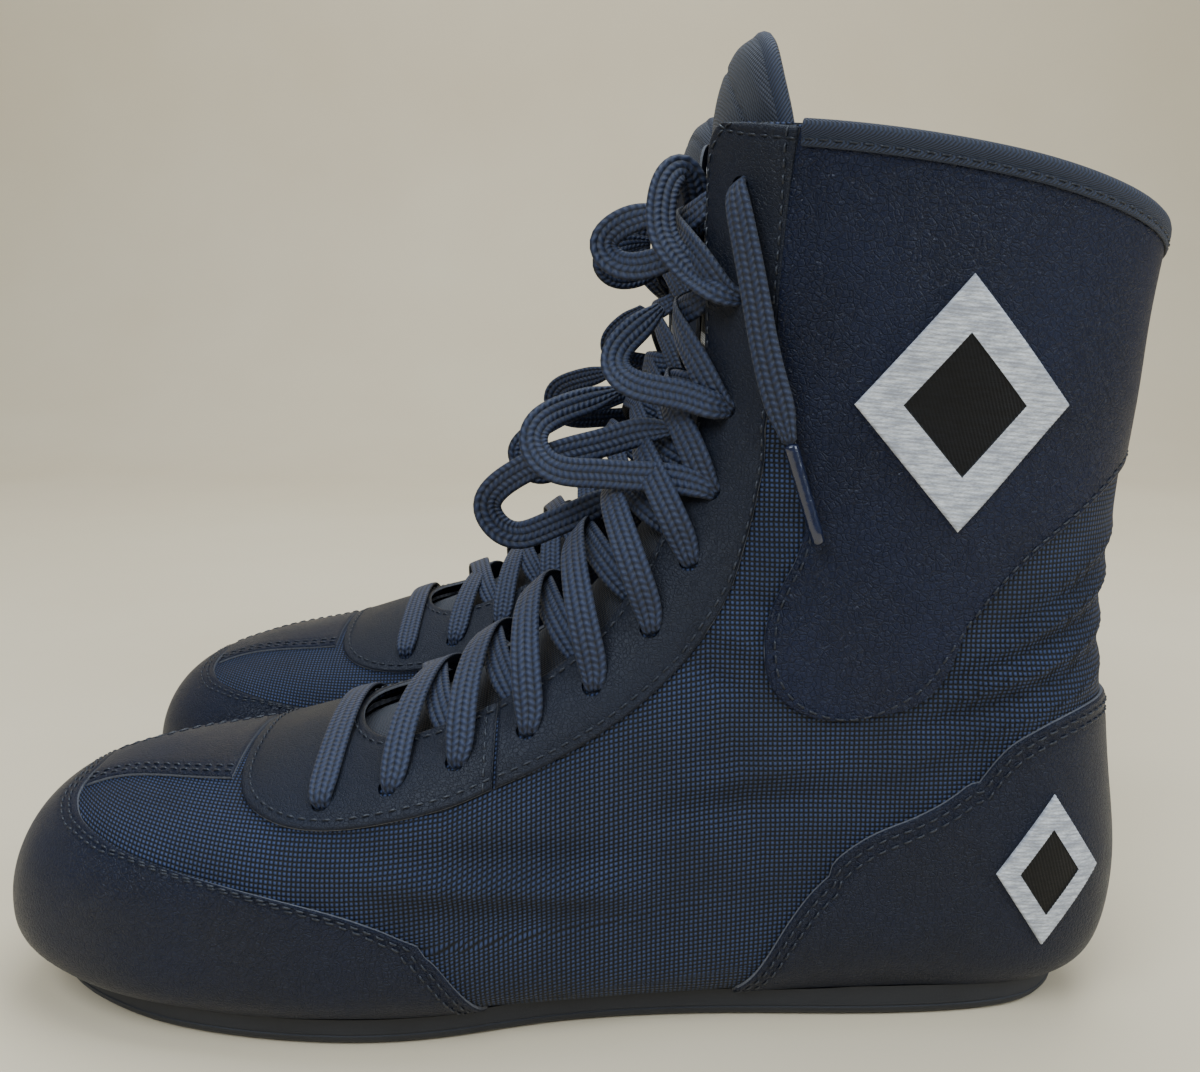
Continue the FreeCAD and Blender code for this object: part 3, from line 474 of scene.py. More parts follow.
lining_knit, tree = new_material("warp_knit_lining")
# Warp-knitted polyester: black and matt, with wales 1.2 mm apart.
wales = node(tree, "ShaderNodeTexWave", {"Scale": 260.0, "Distortion": 1.5, "Detail": 2.0, "Vector": node(
    tree, "ShaderNodeUVMap", {}, uv_map="UVMap")}, "Fac")
wale_colour = node(tree, "ShaderNodeMix", {0: wales, 6: linear("0e0f14"), 7: linear("282a35")}, 2, data_type="RGBA")
node(tree, "Principled BSDF", {"Base Color": wale_colour, "Roughness": 0.9, "Sheen Weight": 0.25,
                               "Normal": node(tree, "ShaderNodeBump", {"Height": wales, "Distance": 0.0002})})
for side, sign in SIDES:
    sheet = lay(quarter, spaced(230.0, 3.0), spaced(125.0, 3.0), -2.9, -1.9, side=sign)
    pair(f"knit_lining_{side}", *shell(sheet), lining_knit, "lining_fabric", uv=flat_uv(sheet),
         stands_for=[f"lining_{side}"])


# =============================================================================================
# Toe puff and heel stiffener
# Resin-soaked felt, moulded by heat and glued between the mesh and the lining, where it is hidden.
# =============================================================================================
stiff_felt, tree = new_material("thermoformed_felt")
# Resin-soaked felt: grey-white and dull, with fibres about 1 mm long.
felt = node(tree, "ShaderNodeTexNoise", {"Scale": 700.0, "Detail": 3.0, "Vector": node(
    tree, "ShaderNodeTexCoord", {}, "Object")})
felt_colour = node(tree, "ShaderNodeMix", {0: felt, 6: linear("7d7b75"), 7: linear("aaa8a1")}, 2, data_type="RGBA")
node(tree, "Principled BSDF", {"Base Color": felt_colour, "Roughness": 0.8,
                               "Normal": node(tree, "ShaderNodeBump", {"Height": felt, "Distance": 0.0001})})
for boot in BOOTS:
    for stiffener in ("toe_puff", "heel_stiffener"):
        for slot in frame["nodes"][f"{boot}_{stiffener}"].material_slots:
            slot.material = stiff_felt


# =============================================================================================
# Mesh upper
# Square-woven polyester mesh on a dark foam backing. It is lasted, and its bottom edge is turned
# in under the insole board; the soft folds come from wear.
# =============================================================================================
THREAD_PITCH = 0.00115


def vamp(u, v):
    """The forepart: from the toe tip back to the throat, margin to margin."""
    station = 0.006 + (5.9 - 0.006) * u
    return station, (1.0 - margin(station) / girth(station)) * (2.0 * v - 1.0)


upper_mesh, tree = new_material("square_woven_mesh")
# Blue-grey monofilament over near-black: a raised dot where threads cross, every 1.15 mm. The
# dots' height and colour are |sin| of both thread directions, bent a little by noise.
cloth = node(tree, "ShaderNodeUVMap", {}, uv_map="UVMap")
wobble = node(tree, "ShaderNodeTexNoise", {"Vector": cloth, "Scale": 260.0, "Detail": 2.0}, 1)
bent = node(tree, "ShaderNodeVectorMath", {0: wobble, 1: (0.0003, 0.0003, 0.0), 2: cloth}, operation="MULTIPLY_ADD")
turns = node(tree, "ShaderNodeVectorMath", {0: bent, "Scale": math.pi / THREAD_PITCH}, operation="SCALE")
waves = node(tree, "ShaderNodeVectorMath", {0: turns}, operation="SINE")
knots = node(tree, "ShaderNodeVectorMath", {0: waves}, operation="ABSOLUTE")
split = tree.nodes.new("ShaderNodeSeparateXYZ")
tree.links.new(knots, split.inputs[0])
knot = node(tree, "ShaderNodeMath", {0: split.outputs[0], 1: split.outputs[1]}, operation="MULTIPLY")
patchy = node(tree, "ShaderNodeTexNoise", {"Vector": cloth, "Scale": 60.0, "Detail": 3.0})
thread = node(tree, "ShaderNodeMix", {0: patchy, 6: linear("202a42"), 7: linear("3a4a70")}, 2, data_type="RGBA")
contrast = node(tree, "ShaderNodeMapRange", {0: knot, 1: 0.25, 2: 0.85})
weave_colour = node(tree, "ShaderNodeMix", {0: contrast, 6: linear("05070e"), 7: thread}, 2, data_type="RGBA")
node(tree, "Principled BSDF", {"Base Color": weave_colour, "Roughness": 0.6, "Specular IOR Level": 0.3,
                               "Normal": node(tree, "ShaderNodeBump", {"Height": knot, "Distance": 0.00035})})

sheet = lay(vamp, spaced(100.0, 1.6), spaced(170.0, 1.6), -1.0, 0.0, rounded=("v0", "v1"))
pair("woven_vamp", *shell(sheet), upper_mesh, "upper_mesh", uv=flat_uv(sheet), stands_for=["vamp_mesh"])
for side, sign in SIDES:
    sheet = lay(quarter, spaced(230.0, 1.5), spaced(125.0, 1.4), -1.0, 0.0, side=sign, rounded=("u1", "v0", "v1"))
    pair(f"woven_quarter_{side}", *shell(sheet), upper_mesh, "upper_mesh", uv=flat_uv(sheet),
         stands_for=[f"quarter_mesh_{side}"])


# =============================================================================================
# Toe cap and toe bridge
# Die-cut coated split leather, 1.2 mm thick, sewn over the mesh with two rows of lockstitch. Its
# edges are left raw, so the grey core shows there.
# =============================================================================================
CAP_SHARES = [0.0, 0.10, 0.165, 0.262, 0.329, 0.372, 0.407, 0.463, 0.528, 0.565, 0.643, 0.714, 0.80, 1.0]
CAP_STATIONS = [2.85, 2.80, 2.82, 3.16, 3.76, 4.35, 5.18, 6.06, 6.66, 6.89, 7.15, 7.36, 7.5, 7.5]
LEATHER_LOW, LEATHER_HIGH, ON_LEATHER = 0.05, 1.25, 1.30
STITCH_PITCH, STITCH_LONG, THREAD_HALF = 3.3, 2.5, 0.27


def cap_edge(share):
    """Station of the toe cap's rear edge: the table above, rounded by a moving average."""
    fine = np.linspace(-0.2, 1.2, 1401)
    steps = np.interp(np.abs(fine), CAP_SHARES, CAP_STATIONS)
    window = np.hanning(141)
    return np.interp(np.abs(share), fine, np.convolve(np.pad(steps, 70, "edge"), window / window.sum(), "valid"))


def cap(u, v):
    """From the toe tip back to the cap's rear edge, margin to margin; it ends in two side wings."""
    across = 2.0 * v - 1.0
    rear = 0.8 * across
    for _ in range(6):
        rear = across * (1.0 - margin(cap_edge(rear)) / girth(cap_edge(rear)))
    station = 0.006 + (cap_edge(rear) - 0.006) * u
    return station, across * (1.0 - margin(station) / girth(station))


def curve_through(points, ease=0):
    """A smooth line through (station, share) points, as a function of 0 to 1.

    With ease its spline is also averaged over that many thousandths of its length, ends kept.
    """
    fine = spline(np.asarray(points, float), np.linspace(0.0, len(points) - 1.0, 1001))
    if ease:
        window = np.hanning(ease + 2)[1:-1] / np.hanning(ease + 2).sum()
        half = ease // 2
        padded = np.concatenate([2.0 * fine[:1] - fine[half:0:-1], fine, 2.0 * fine[-1:] - fine[-2:-half - 2:-1]])
        fine = np.stack([np.convolve(padded[:, c], window, "valid") for c in (0, 1)], -1)
    return lambda u: between_rows(u, np.linspace(0.0, 1.0, len(fine)), fine)


def between(line_a, line_b):
    """The ruled map between two smooth lines."""
    def patch(u, v):
        a, b = line_a(u), line_b(u)
        place = a + (b - a) * np.asarray(v)[..., None]
        return place[..., 0], place[..., 1]
    return patch


def seam_line(sheet, edge, depth, trim=(0.0, 0.0)):
    """Points and facings on a sheet's outer face along one edge, a distance inside it."""
    points, facing, gap = sheet["outer"], sheet["facing"], sheet["gaps"][edge]
    if edge[0] == "u":
        points, facing, gap = (np.swapaxes(a, 0, 1) for a in (points, facing, gap))
    if edge[1] == "1":
        points, facing, gap = points[:, ::-1], facing[:, ::-1], gap[:, ::-1]
    k = np.clip((gap < depth).sum(axis=1) - 1, 0, gap.shape[1] - 2)
    row = np.arange(len(k))
    t = ((depth - gap[row, k]) / (gap[row, k + 1] - gap[row, k]))[:, None]
    line = points[row, k] * (1.0 - t) + points[row, k + 1] * t
    upward = facing[row, k] * (1.0 - t) + facing[row, k + 1] * t
    length = run_length(line)
    keep = (length >= trim[0]) & (length <= length[-1] - trim[1])
    return line[keep], upward[keep]


def stitches(lines):
    """Threads along (points, facings) lines: each is a six-sided tube bent down at both ends."""
    all_points, all_quads, start = [], [], 0
    rings, sides = 6, 6
    along = np.linspace(-0.5, 0.5, rings) * STITCH_LONG
    height = THREAD_HALF * (1.0 - 1.9 * np.abs(np.linspace(-1, 1, rings)) ** 4)
    angle = np.arange(sides) * 2.0 * math.pi / sides
    thick = THREAD_HALF * np.sqrt(np.clip(1.05 - np.abs(np.linspace(-1, 1, rings)) ** 6, 0.05, 1.0))
    ring_t = np.repeat(along, sides)
    ring_n = np.repeat(height, sides) + (thick[:, None] * np.sin(angle)).ravel()
    ring_b = (thick[:, None] * np.cos(angle)).ravel()
    index = np.arange(rings * sides).reshape(rings, sides)
    index = np.concatenate([index, index[:, :1]], axis=1)
    tube = np.stack([index[:-1, :-1], index[:-1, 1:], index[1:, 1:], index[1:, :-1]], -1).reshape(-1, 4)
    caps = np.array([[3, 2, 1, 0], [5, 4, 3, 0]])
    last = (rings - 1) * sides
    template = np.concatenate([tube, caps, caps[:, ::-1] + last])
    for line, facing in lines:
        length = run_length(line)
        count = max(int(length[-1] / STITCH_PITCH), 1)
        places = (np.arange(count) + 0.5) * length[-1] / count
        middle, upward = between_rows(places, length, line), between_rows(places, length, facing)
        tangent = between_rows(places + 0.8, length, line) - between_rows(places - 0.8, length, line)
        tangent /= np.linalg.norm(tangent, axis=1, keepdims=True)
        across = cross_unit(upward, tangent)
        upward = cross_unit(tangent, across)
        points = (middle[:, None] + tangent[:, None] * ring_t[:, None] + upward[:, None] * ring_n[:, None]
                  + across[:, None] * ring_b[:, None])
        all_points.append(points.reshape(-1, 3))
        all_quads.append((template[None] + start + np.arange(count)[:, None, None] * rings * sides).reshape(-1, 4))
        start += points.shape[0] * rings * sides
    return np.concatenate(all_points), np.concatenate(all_quads)


def leather(name, face, light, cell, depth, rough):
    """Coated leather: two sizes of embossed grain cell, bent by noise, with the sheen of handling; the colour is
    darkened in the grain's valleys as painted shade.
    """
    made, tree = new_material(name)
    place = node(tree, "ShaderNodeTexCoord", {}, "Object")
    bend = node(tree, "ShaderNodeTexNoise", {"Vector": place, "Scale": 0.35 / cell, "Detail": 3.0}, 1)
    bent = node(tree, "ShaderNodeVectorMath", {0: bend, 1: (cell * 1.6, cell * 1.6, cell * 1.2), 2: place},
                operation="MULTIPLY_ADD")
    cells = node(tree, "ShaderNodeTexVoronoi", {"Vector": bent, "Scale": 1.0 / cell}, "Distance",
                 feature="DISTANCE_TO_EDGE")
    fine = node(tree, "ShaderNodeTexVoronoi", {"Vector": bent, "Scale": 2.7 / cell}, "Distance",
                feature="DISTANCE_TO_EDGE")
    pebbles = node(tree, "ShaderNodeMapRange", {0: cells, 1: 0.0, 2: 0.16}, interpolation_type="SMOOTHSTEP")
    wrinkles = node(tree, "ShaderNodeMapRange", {0: fine, 1: 0.0, 2: 0.16}, interpolation_type="SMOOTHSTEP")
    grain = node(tree, "ShaderNodeMath", {0: wrinkles, 1: 0.35, 2: pebbles}, operation="MULTIPLY_ADD")
    handled = node(tree, "ShaderNodeTexNoise", {"Vector": place, "Scale": 38.0, "Detail": 4.0})
    body = node(tree, "ShaderNodeMix", {0: handled, 6: linear(face), 7: linear(light)}, 2, data_type="RGBA")
    # Painted shade: the colour is darkened down to 62% in the valleys between the grain cells.
    painted_valley_shade = node(tree, "ShaderNodeMapRange", {0: grain, 1: 0.0, 2: 0.9, 3: 0.62, 4: 1.0})
    shaded = node(tree, "ShaderNodeVectorMath", {0: body, "Scale": painted_valley_shade}, operation="SCALE")
    gloss = node(tree, "ShaderNodeMapRange", {0: handled, 1: 0.3, 2: 0.7, 3: rough - 0.05, 4: rough + 0.08})
    node(tree, "Principled BSDF", {"Base Color": shaded, "Roughness": gloss, "Specular IOR Level": 0.28,
                                   "Normal": node(tree, "ShaderNodeBump", {"Height": grain, "Distance": depth,
                                                                           "Strength": 0.9})})
    return made


cut_edge, tree = new_material("raw_leather_edge")
# The core of split leather at a raw cut: mid grey and fibrous.
fibres = node(tree, "ShaderNodeTexNoise", {"Scale": 1500.0, "Detail": 3.0, "Vector": node(
    tree, "ShaderNodeTexCoord", {}, "Object")})
core_colour = node(tree, "ShaderNodeMix", {0: fibres, 6: linear("36373c"), 7: linear("6d6e74")}, 2, data_type="RGBA")
node(tree, "Principled BSDF", {"Base Color": core_colour, "Roughness": 0.85,
                               "Normal": node(tree, "ShaderNodeBump", {"Height": fibres, "Distance": 0.00015})})

sewing_thread, tree = new_material("bonded_polyester_thread")
# Bonded filament thread: nearly black, slightly glossy, its twist about 0.6 mm.
twist = node(tree, "ShaderNodeTexNoise", {"Scale": 1800.0, "Detail": 1.0, "Vector": node(
    tree, "ShaderNodeTexCoord", {}, "Object")})
thread_colour = node(tree, "ShaderNodeMix", {0: twist, 6: linear("08090e"), 7: linear("2a303e")}, 2, data_type="RGBA")
node(tree, "Principled BSDF", {"Base Color": thread_colour, "Roughness": 0.45,
                               "Normal": node(tree, "ShaderNodeBump", {"Height": twist, "Distance": 0.0001})})


def second_material(pieces, material, chosen):
    """Add a second material, used on the chosen ones of each piece's faces, counted from the first."""
    for piece in pieces:
        piece.data.materials.append(material)
        slots = np.zeros(len(piece.data.polygons), dtype=np.int32)
        slots[:chosen.size] = chosen.ravel()[:slots.size]
        piece.data.polygons.foreach_set("material_index", slots)


def leather_pieces(name, sheet, face, slot, seams=()):
    """A leather sheet with its raw cut edge and its rows of stitches, on both boots."""
    points, quads = shell(sheet)
    made = pair(f"leather_{name}", points, quads, face, slot, stands_for=[name])
    flat = 2 * (sheet["outer"].shape[0] - 1) * (sheet["outer"].shape[1] - 1)
    second_material(made, cut_edge, np.arange(len(quads)) >= flat)
    if seams:
        pair(f"{name}_stitches", *stitches([seam_line(sheet, *seam) for seam in seams]), sewing_thread, slot)
    return made


smooth_leather = leather("coated_leather_fine_grain", "0b101f", "151d34", 0.0012, 0.00020, 0.40)
rows = (("u1", 2.3), ("u1", 4.6))
sheet = lay(cap, spaced(100.0, 1.8), spaced(230.0, 1.8), LEATHER_LOW, LEATHER_HIGH, seams=rows, rounded=("u1",))
leather_pieces("toe_cap", sheet, smooth_leather, "smooth_leather", rows)

BRIDGE_EDGE = [(2.88, 13.5), (3.5, 14.5), (4.2, 19.0), (4.9, 24.0)]
bridge = between(curve_through([(s, -share_at(s, a)) for s, a in BRIDGE_EDGE]),
                 curve_through([(s, share_at(s, a)) for s, a in BRIDGE_EDGE]))
rows = (("v0", 2.0), ("v1", 2.0), ("v0", 4.2), ("v1", 4.2))
sheet = lay(bridge, spaced(52.0, 1.6), spaced(40.0, 1.6), LEATHER_LOW, LEATHER_HIGH, seams=rows)
leather_pieces("toe_bridge", sheet, smooth_leather, "smooth_leather", rows)


# =============================================================================================
# Heel cover
# One piece of the same leather round the heel, sewn over the mesh along its climbing top edge.
# =============================================================================================
SOLE_LINE = [(9.4, 24.5), (10.4, 24.0), (11.2, 21.0), (11.85, 13.0), (12.15, 6.0), (12.25, 0.0)]
HEEL_EDGE = [(9.48, 34.4), (9.77, 44.6), (10.17, 59.4), (10.85, 74.9), (11.59, 84.6), (13.19, 87.4),
             (14.1, 74.0), (14.96, 54.9), (15.95, 23.9), (16.1, 0.0)]


def heel_line(points):
    """A line round the heel, both sides, from (station, distance from the back line) points."""
    up = [(s, 1.0 - d / girth(s)) for s, d in points]
    return curve_through([(s, -share) for s, share in up] + [(s, share - 2.0) for s, share in up[-2::-1]], 101)


rows = (("v1", 2.3), ("v1", 4.8))
sheet = lay(between(heel_line(SOLE_LINE), heel_line(HEEL_EDGE)), spaced(330.0, 1.7), spaced(90.0, 1.7),
            LEATHER_LOW, LEATHER_HIGH, seams=rows, rounded=("u0", "u1", "v1"))
leather_pieces("heel_cover", sheet, smooth_leather, "smooth_leather", rows)


# =============================================================================================
# Throat overlay and eyestays
# Matt leather round the front of the lacing gap and up both its sides, punched with 5 mm lace
# holes that have no metal eyelets, and sewn down close to every edge.
# =============================================================================================
EYELETS = [(5.87, 40.7), (6.46, 41.6), (7.06, 40.9), (7.75, 40.9), (8.49, 41.2), (9.30, 40.0),
           (10.14, 36.0), (11.11, 30.6), (12.88, 27.0), (15.84, 27.0), (18.55, 27.0)]
EYELET_BORE, SEAM_STATION = 5.0, 7.42
OVERLAY_EDGE = [(SEAM_STATION, 50.9), (7.0, 51.2), (6.45, 50.0), (5.75, 46.5), (5.25, 38.0), (5.0, 24.0), (4.95, 0.0)]
THROAT_EDGE = [(SEAM_STATION, 28.5), (7.0, 28.0), (6.55, 26.5), (6.25, 22.0), (6.08, 15.0), (6.0, 8.0), (5.97, 0.0)]
STAY_OUTER = [(SEAM_STATION + 0.03, 51.0), (8.5, 53.0), (9.3, 54.0), (9.9, 53.2), (10.7, 50.2), (11.8, 45.0),
              (13.6, 41.2), (15.6, 41.2), (17.9, 41.2), (20.15, 41.5)]
STAY_INNER = [(SEAM_STATION + 0.03, 28.5), (8.3, 29.3), (8.9, 28.0), (9.5, 25.0), (10.1, 21.8), (11.3, 17.0),
              (13.4, 14.5), (15.6, 14.0), (17.9, 14.0), (19.2, 14.2), (19.75, 15.6), (20.05, 18.0), (20.12, 21.0)]


def both_sides(points):
    """A line that starts on the outer side, rounds the front and ends on the inner side."""
    across = [(s, share_at(s, a)) for s, a in points]
    return curve_through([(s, -share) for s, share in across] + across[-2::-1])


def punch(pieces, places):
    """Cut round lace holes through leather with a boolean of 28-sided cylinders, each square to it."""
    angle = np.arange(28) * 2.0 * math.pi / 28
    rim = np.stack([np.cos(angle), np.sin(angle)], -1) * EYELET_BORE / 2.0
    for piece, flip in zip(pieces, (False, True)):
        cutter = bpy.data.meshes.new("punch")
        points, faces = [], []
        for station, share in places:
            facing = outward(station, share, skin)
            across = cross_unit(facing, np.array([0.0, 0.0, 1.0]))
            circle = skin(station, share) + rim @ np.stack([across, np.cross(facing, across)])
            start = 56 * len(points)
            points.append(np.concatenate([circle - facing * 4.0, circle + facing * 5.0]))
            faces += [[start + k, start + (k + 1) % 28, start + 28 + (k + 1) % 28, start + 28 + k] for k in range(28)]
            faces += [list(range(start + 27, start - 1, -1)), list(range(start + 28, start + 56))]
        place = (np.concatenate(points) + SHIFT) * MM * ((1.0, -1.0, 1.0) if flip else 1.0)
        cutter.from_pydata(place.tolist(), [], faces)
        tool = bpy.data.objects.new("punch", cutter)
        bpy.context.scene.collection.objects.link(tool)
        work = bmesh.new()
        work.from_mesh(cutter)
        bmesh.ops.recalc_face_normals(work, faces=work.faces)
        work.to_mesh(cutter)
        work.free()
        cut = piece.modifiers.new("lace_holes", "BOOLEAN")
        cut.operation, cut.solver, cut.object = "DIFFERENCE", "EXACT", tool
        bpy.context.view_layer.update()
        piece.data = bpy.data.meshes.new_from_object(piece.evaluated_get(bpy.context.evaluated_depsgraph_get()))
        piece.modifiers.clear()
        piece.data.set_sharp_from_angle(angle=math.radians(48.0))
        bpy.data.objects.remove(tool)


matt_leather = leather("coated_leather_matt", "0d111c", "191f2f", 0.0010, 0.00010, 0.46)
rows = (("v0", 2.6), ("v1", 2.6))
sheet = lay(between(both_sides(OVERLAY_EDGE), both_sides(THROAT_EDGE)), spaced(210.0, 1.5), spaced(26.0, 1.3),
            LEATHER_LOW, LEATHER_HIGH, seams=rows)
made = leather_pieces("throat_overlay", sheet, matt_leather, "matte_leather", rows + (("u0", 2.2), ("u1", 2.2)))
punch(made, [(s, sign * share_at(s, a)) for s, a in EYELETS[:3] for sign in (-1.0, 1.0)])

stay = between(curve_through([(s, share_at(s, a)) for s, a in STAY_OUTER]),
               curve_through([(s, share_at(s, a)) for s, a in STAY_INNER]))
rows = (("v0", 2.6), ("v1", 2.6), ("u1", 2.6))
for side, sign in SIDES:
    sheet = lay(stay, spaced(250.0, 1.5), spaced(26.0, 1.3), LEATHER_LOW, LEATHER_HIGH, side=sign, seams=rows)
    made = leather_pieces(f"eyestay_{side}", sheet, matt_leather, "matte_leather", rows)
    punch(made, [(s, sign * share_at(s, a)) for s, a in EYELETS[3:]])


# =============================================================================================
# Shaft panels and backstay
# Pebble-grained leather round the ankle and calf, from behind the eyestay to the back seam,
# where a narrow strip of the same leather covers the join.
# =============================================================================================
PANEL_START = 42.0     # distance of the panels' front edges from the front of the collar
PANEL_END = 0.9985     # share of the half girth at which they meet the back seam
PANEL_LOW = [(14.1, 42.3), (13.75, 53.0), (13.1, 59.3), (12.1, 61.8), (11.15, 62.8), (10.72, 70.0),
             (10.74, 80.0), (11.12, 91.0), (11.7, 99.5), (12.6, 106.0), (14.2, 112.4), (16.1, 121.4),
             (17.3, 132.0), (18.1, 146.0)]
panel_line = curve_through([(s, share_at(s, a)) for s, a in PANEL_LOW] + [(18.35, PANEL_END)], 61)


BACKSTAY_STATIONS, BACKSTAY_HALF = (16.12, 18.25), 6.0


def panel(u, v):
    """From the curved lower edge straight up to the collar."""
    low = panel_line(u)
    start = PANEL_START / girth(COLLAR)
    share = start + (PANEL_END - start) * u
    return (low[..., 0] + (collar_station(share) - 0.02 - low[..., 0]) * v, low[..., 1] + (share - low[..., 1]) * v)


def backstay(u, v):
    """A strip over the back seam, 12 mm wide."""
    station = BACKSTAY_STATIONS[0] + (BACKSTAY_STATIONS[1] - BACKSTAY_STATIONS[0]) * u
    return station, 1.0 + (2.0 * v - 1.0) * BACKSTAY_HALF / girth(station)


grained_leather = leather("coated_leather_pebble_grain", "0b1122", "141d3a", 0.0014, 0.00026, 0.38)
for side, sign in SIDES:
    sheet = lay(panel, spaced(230.0, 1.7), spaced(120.0, 1.7), LEATHER_LOW, LEATHER_HIGH, side=sign,
                seams=(("v0", 2.6),), rounded=("u0", "v0", "v1"))
    leather_pieces(f"shaft_panel_{side}", sheet, grained_leather, "grained_leather", (("v0", 2.6),))
rows = (("v0", 1.8), ("v1", 1.8))
sheet = lay(backstay, spaced(60.0, 1.5), spaced(12.0, 1.0), LEATHER_LOW, LEATHER_HIGH, seams=rows)
leather_pieces("backstay", sheet, grained_leather, "smooth_leather", rows)


# =============================================================================================
# Collar binding
# Twill tape folded over the raw collar edge, from behind one eyestay round to the other, and
# caught down with one row of stitches near its lower edge.
# =============================================================================================
TAPE_START = 42.6     # distance of the tape's ends from the front of the collar, behind the eyestays
# The folded tape in cross-section: place below (-) or above the collar edge, and height over the skin.
TAPE_OUTSIDE = [(-5.2, 1.35), (-5.2, 1.7), (-4.8, 1.95), (-4.0, 1.9), (-3.4, 1.65), (-2.8, 1.9), (-1.6, 2.1),
                (-0.6, 2.0), (0.2, 1.7), (0.7, 1.1), (0.85, 0.0), (0.8, -1.4), (0.45, -2.8), (-0.3, -3.6),
                (-3.0, -3.9), (-7.0, -3.9), (-7.7, -3.7)]
TAPE_INSIDE = [(-5.1, 1.32), (-4.9, 1.30), (-4.5, 1.30), (-4.0, 1.30), (-3.4, 1.30), (-2.8, 1.30), (-1.6, 1.31),
               (-0.8, 1.30), (-0.3, 1.1), (0.0, 0.7), (0.1, -0.1), (0.05, -1.4), (-0.1, -2.3), (-0.5, -2.95),
               (-3.0, -3.0), (-7.0, -3.0), (-7.6, -3.1)]


def strip_uv(sheet):
    """UV in metres on both faces of a sheet: distance from its first row and from its first column."""
    face = np.stack([sheet["gaps"]["u0"], sheet["gaps"]["v0"]], -1).reshape(-1, 2) * MM
    return np.concatenate([face, face])


def folded_tape(u, profile):
    """The profile carried round the collar edge: rows follow the collar, columns the profile."""
    start = TAPE_START / girth(COLLAR)
    share = start + (2.0 - 2.0 * start) * u
    share = np.where(share > 1.0, share - 2.0, share)[:, None]
    edge = collar_station(share)
    rise = np.linalg.norm(skin(edge + 0.5, share) - skin(edge - 0.5, share), axis=-1)
    below, height = np.array(profile).T
    station = edge + below / rise
    facing = outward(station, share, skin)
    return skin(station, share * np.ones_like(station)) + facing * height[:, None], facing


u = spaced(190.0, 1.4)
tape_out, facing = folded_tape(u, TAPE_OUTSIDE)
tape_in, _ = folded_tape(u, TAPE_INSIDE)
binding = {"outer": tape_out, "inner": tape_in, "facing": tape_out - tape_in, "gaps": edge_gaps(tape_out)}

binding_twill, tree = new_material("twill_binding_tape")
# Polyester twill tape: near black, soft sheen, diagonal ribs 1 mm apart.
cloth = node(tree, "ShaderNodeUVMap", {}, uv_map="UVMap")
ribs = node(tree, "ShaderNodeTexWave", {"Vector": cloth, "Scale": 640.0, "Distortion": 0.6}, "Fac",
            bands_direction="DIAGONAL")
rib_colour = node(tree, "ShaderNodeMix", {0: ribs, 6: linear("080d19"), 7: linear("1d2942")}, 2, data_type="RGBA")
node(tree, "Principled BSDF", {"Base Color": rib_colour, "Roughness": 0.7, "Sheen Weight": 0.06,
                               "Normal": node(tree, "ShaderNodeBump", {"Height": ribs, "Distance": 0.0002})})
pair("twill_collar_binding", *shell(binding), binding_twill, "binding_tape", uv=strip_uv(binding),
     stands_for=["collar_binding"])
binding["facing"] = facing
pair("collar_binding_stitches", *stitches([seam_line(binding, "v0", 2.1)]), sewing_thread, "binding_tape")


# =============================================================================================
# Badges
# Plain embroidered lozenges, a large one on the outer side of the shaft and a small one on the
# heel: white satin-stitch border rows round a black filled middle, worked straight on the leather.
# =============================================================================================
def seen_from_side(x, z, station, share):
    """Stations and shares of the skin's points at x, z in a side view, by Newton steps from a guess."""
    station, share = np.full(x.shape, station), np.full(x.shape, share)
    for _ in range(14):
        here = lasted(station, share)
        by_station = (lasted(station + 0.05, share) - here) * 20.0
        by_share = (lasted(station, share + 0.005) - here) * 200.0
        miss_x, miss_z = x - here[..., 0], z - here[..., 2]
        scale = by_station[..., 0] * by_share[..., 2] - by_station[..., 2] * by_share[..., 0]
        station = station + (miss_x * by_share[..., 2] - miss_z * by_share[..., 0]) / scale
        share = share + (miss_z * by_station[..., 0] - miss_x * by_station[..., 2]) / scale
    return station, share


def lozenge(middle_x, middle_z, half_long, half_high, guess):
    """A four-pointed badge measured in a side view, its corners fore, aft, above and below."""
    def patch(u, v):
        a, b = 2.0 * u - 1.0, 2.0 * v - 1.0
        return seen_from_side(middle_x + (a + b) / 2.0 * half_long, middle_z + (b - a) / 2.0 * half_high, *guess)
    return patch


BORDER_FROM = 0.56     # share of the lozenge that is filled black, inside its white border


def thread_rows(u, v, base):
    """Height of the embroidery: rows of thread 0.85 mm apart, raised more over the border."""
    ring = np.maximum(np.abs(2.0 * u - 1.0), np.abs(2.0 * v - 1.0))
    x, z = base[..., 0], base[..., 2]
    border = (ring > BORDER_FROM).astype(float)
    row = np.abs(np.sin(math.pi * (z + 0.12 * x) / 0.85)) * 0.16 * border
    fill = np.abs(np.sin(math.pi * (x + 0.3 * z) / 0.8)) * 0.12 * (1.0 - border)
    return row + fill - 0.22 * (1.0 - border) - 0.5 * np.clip((ring - 0.965) / 0.035, 0.0, 1.0) ** 2


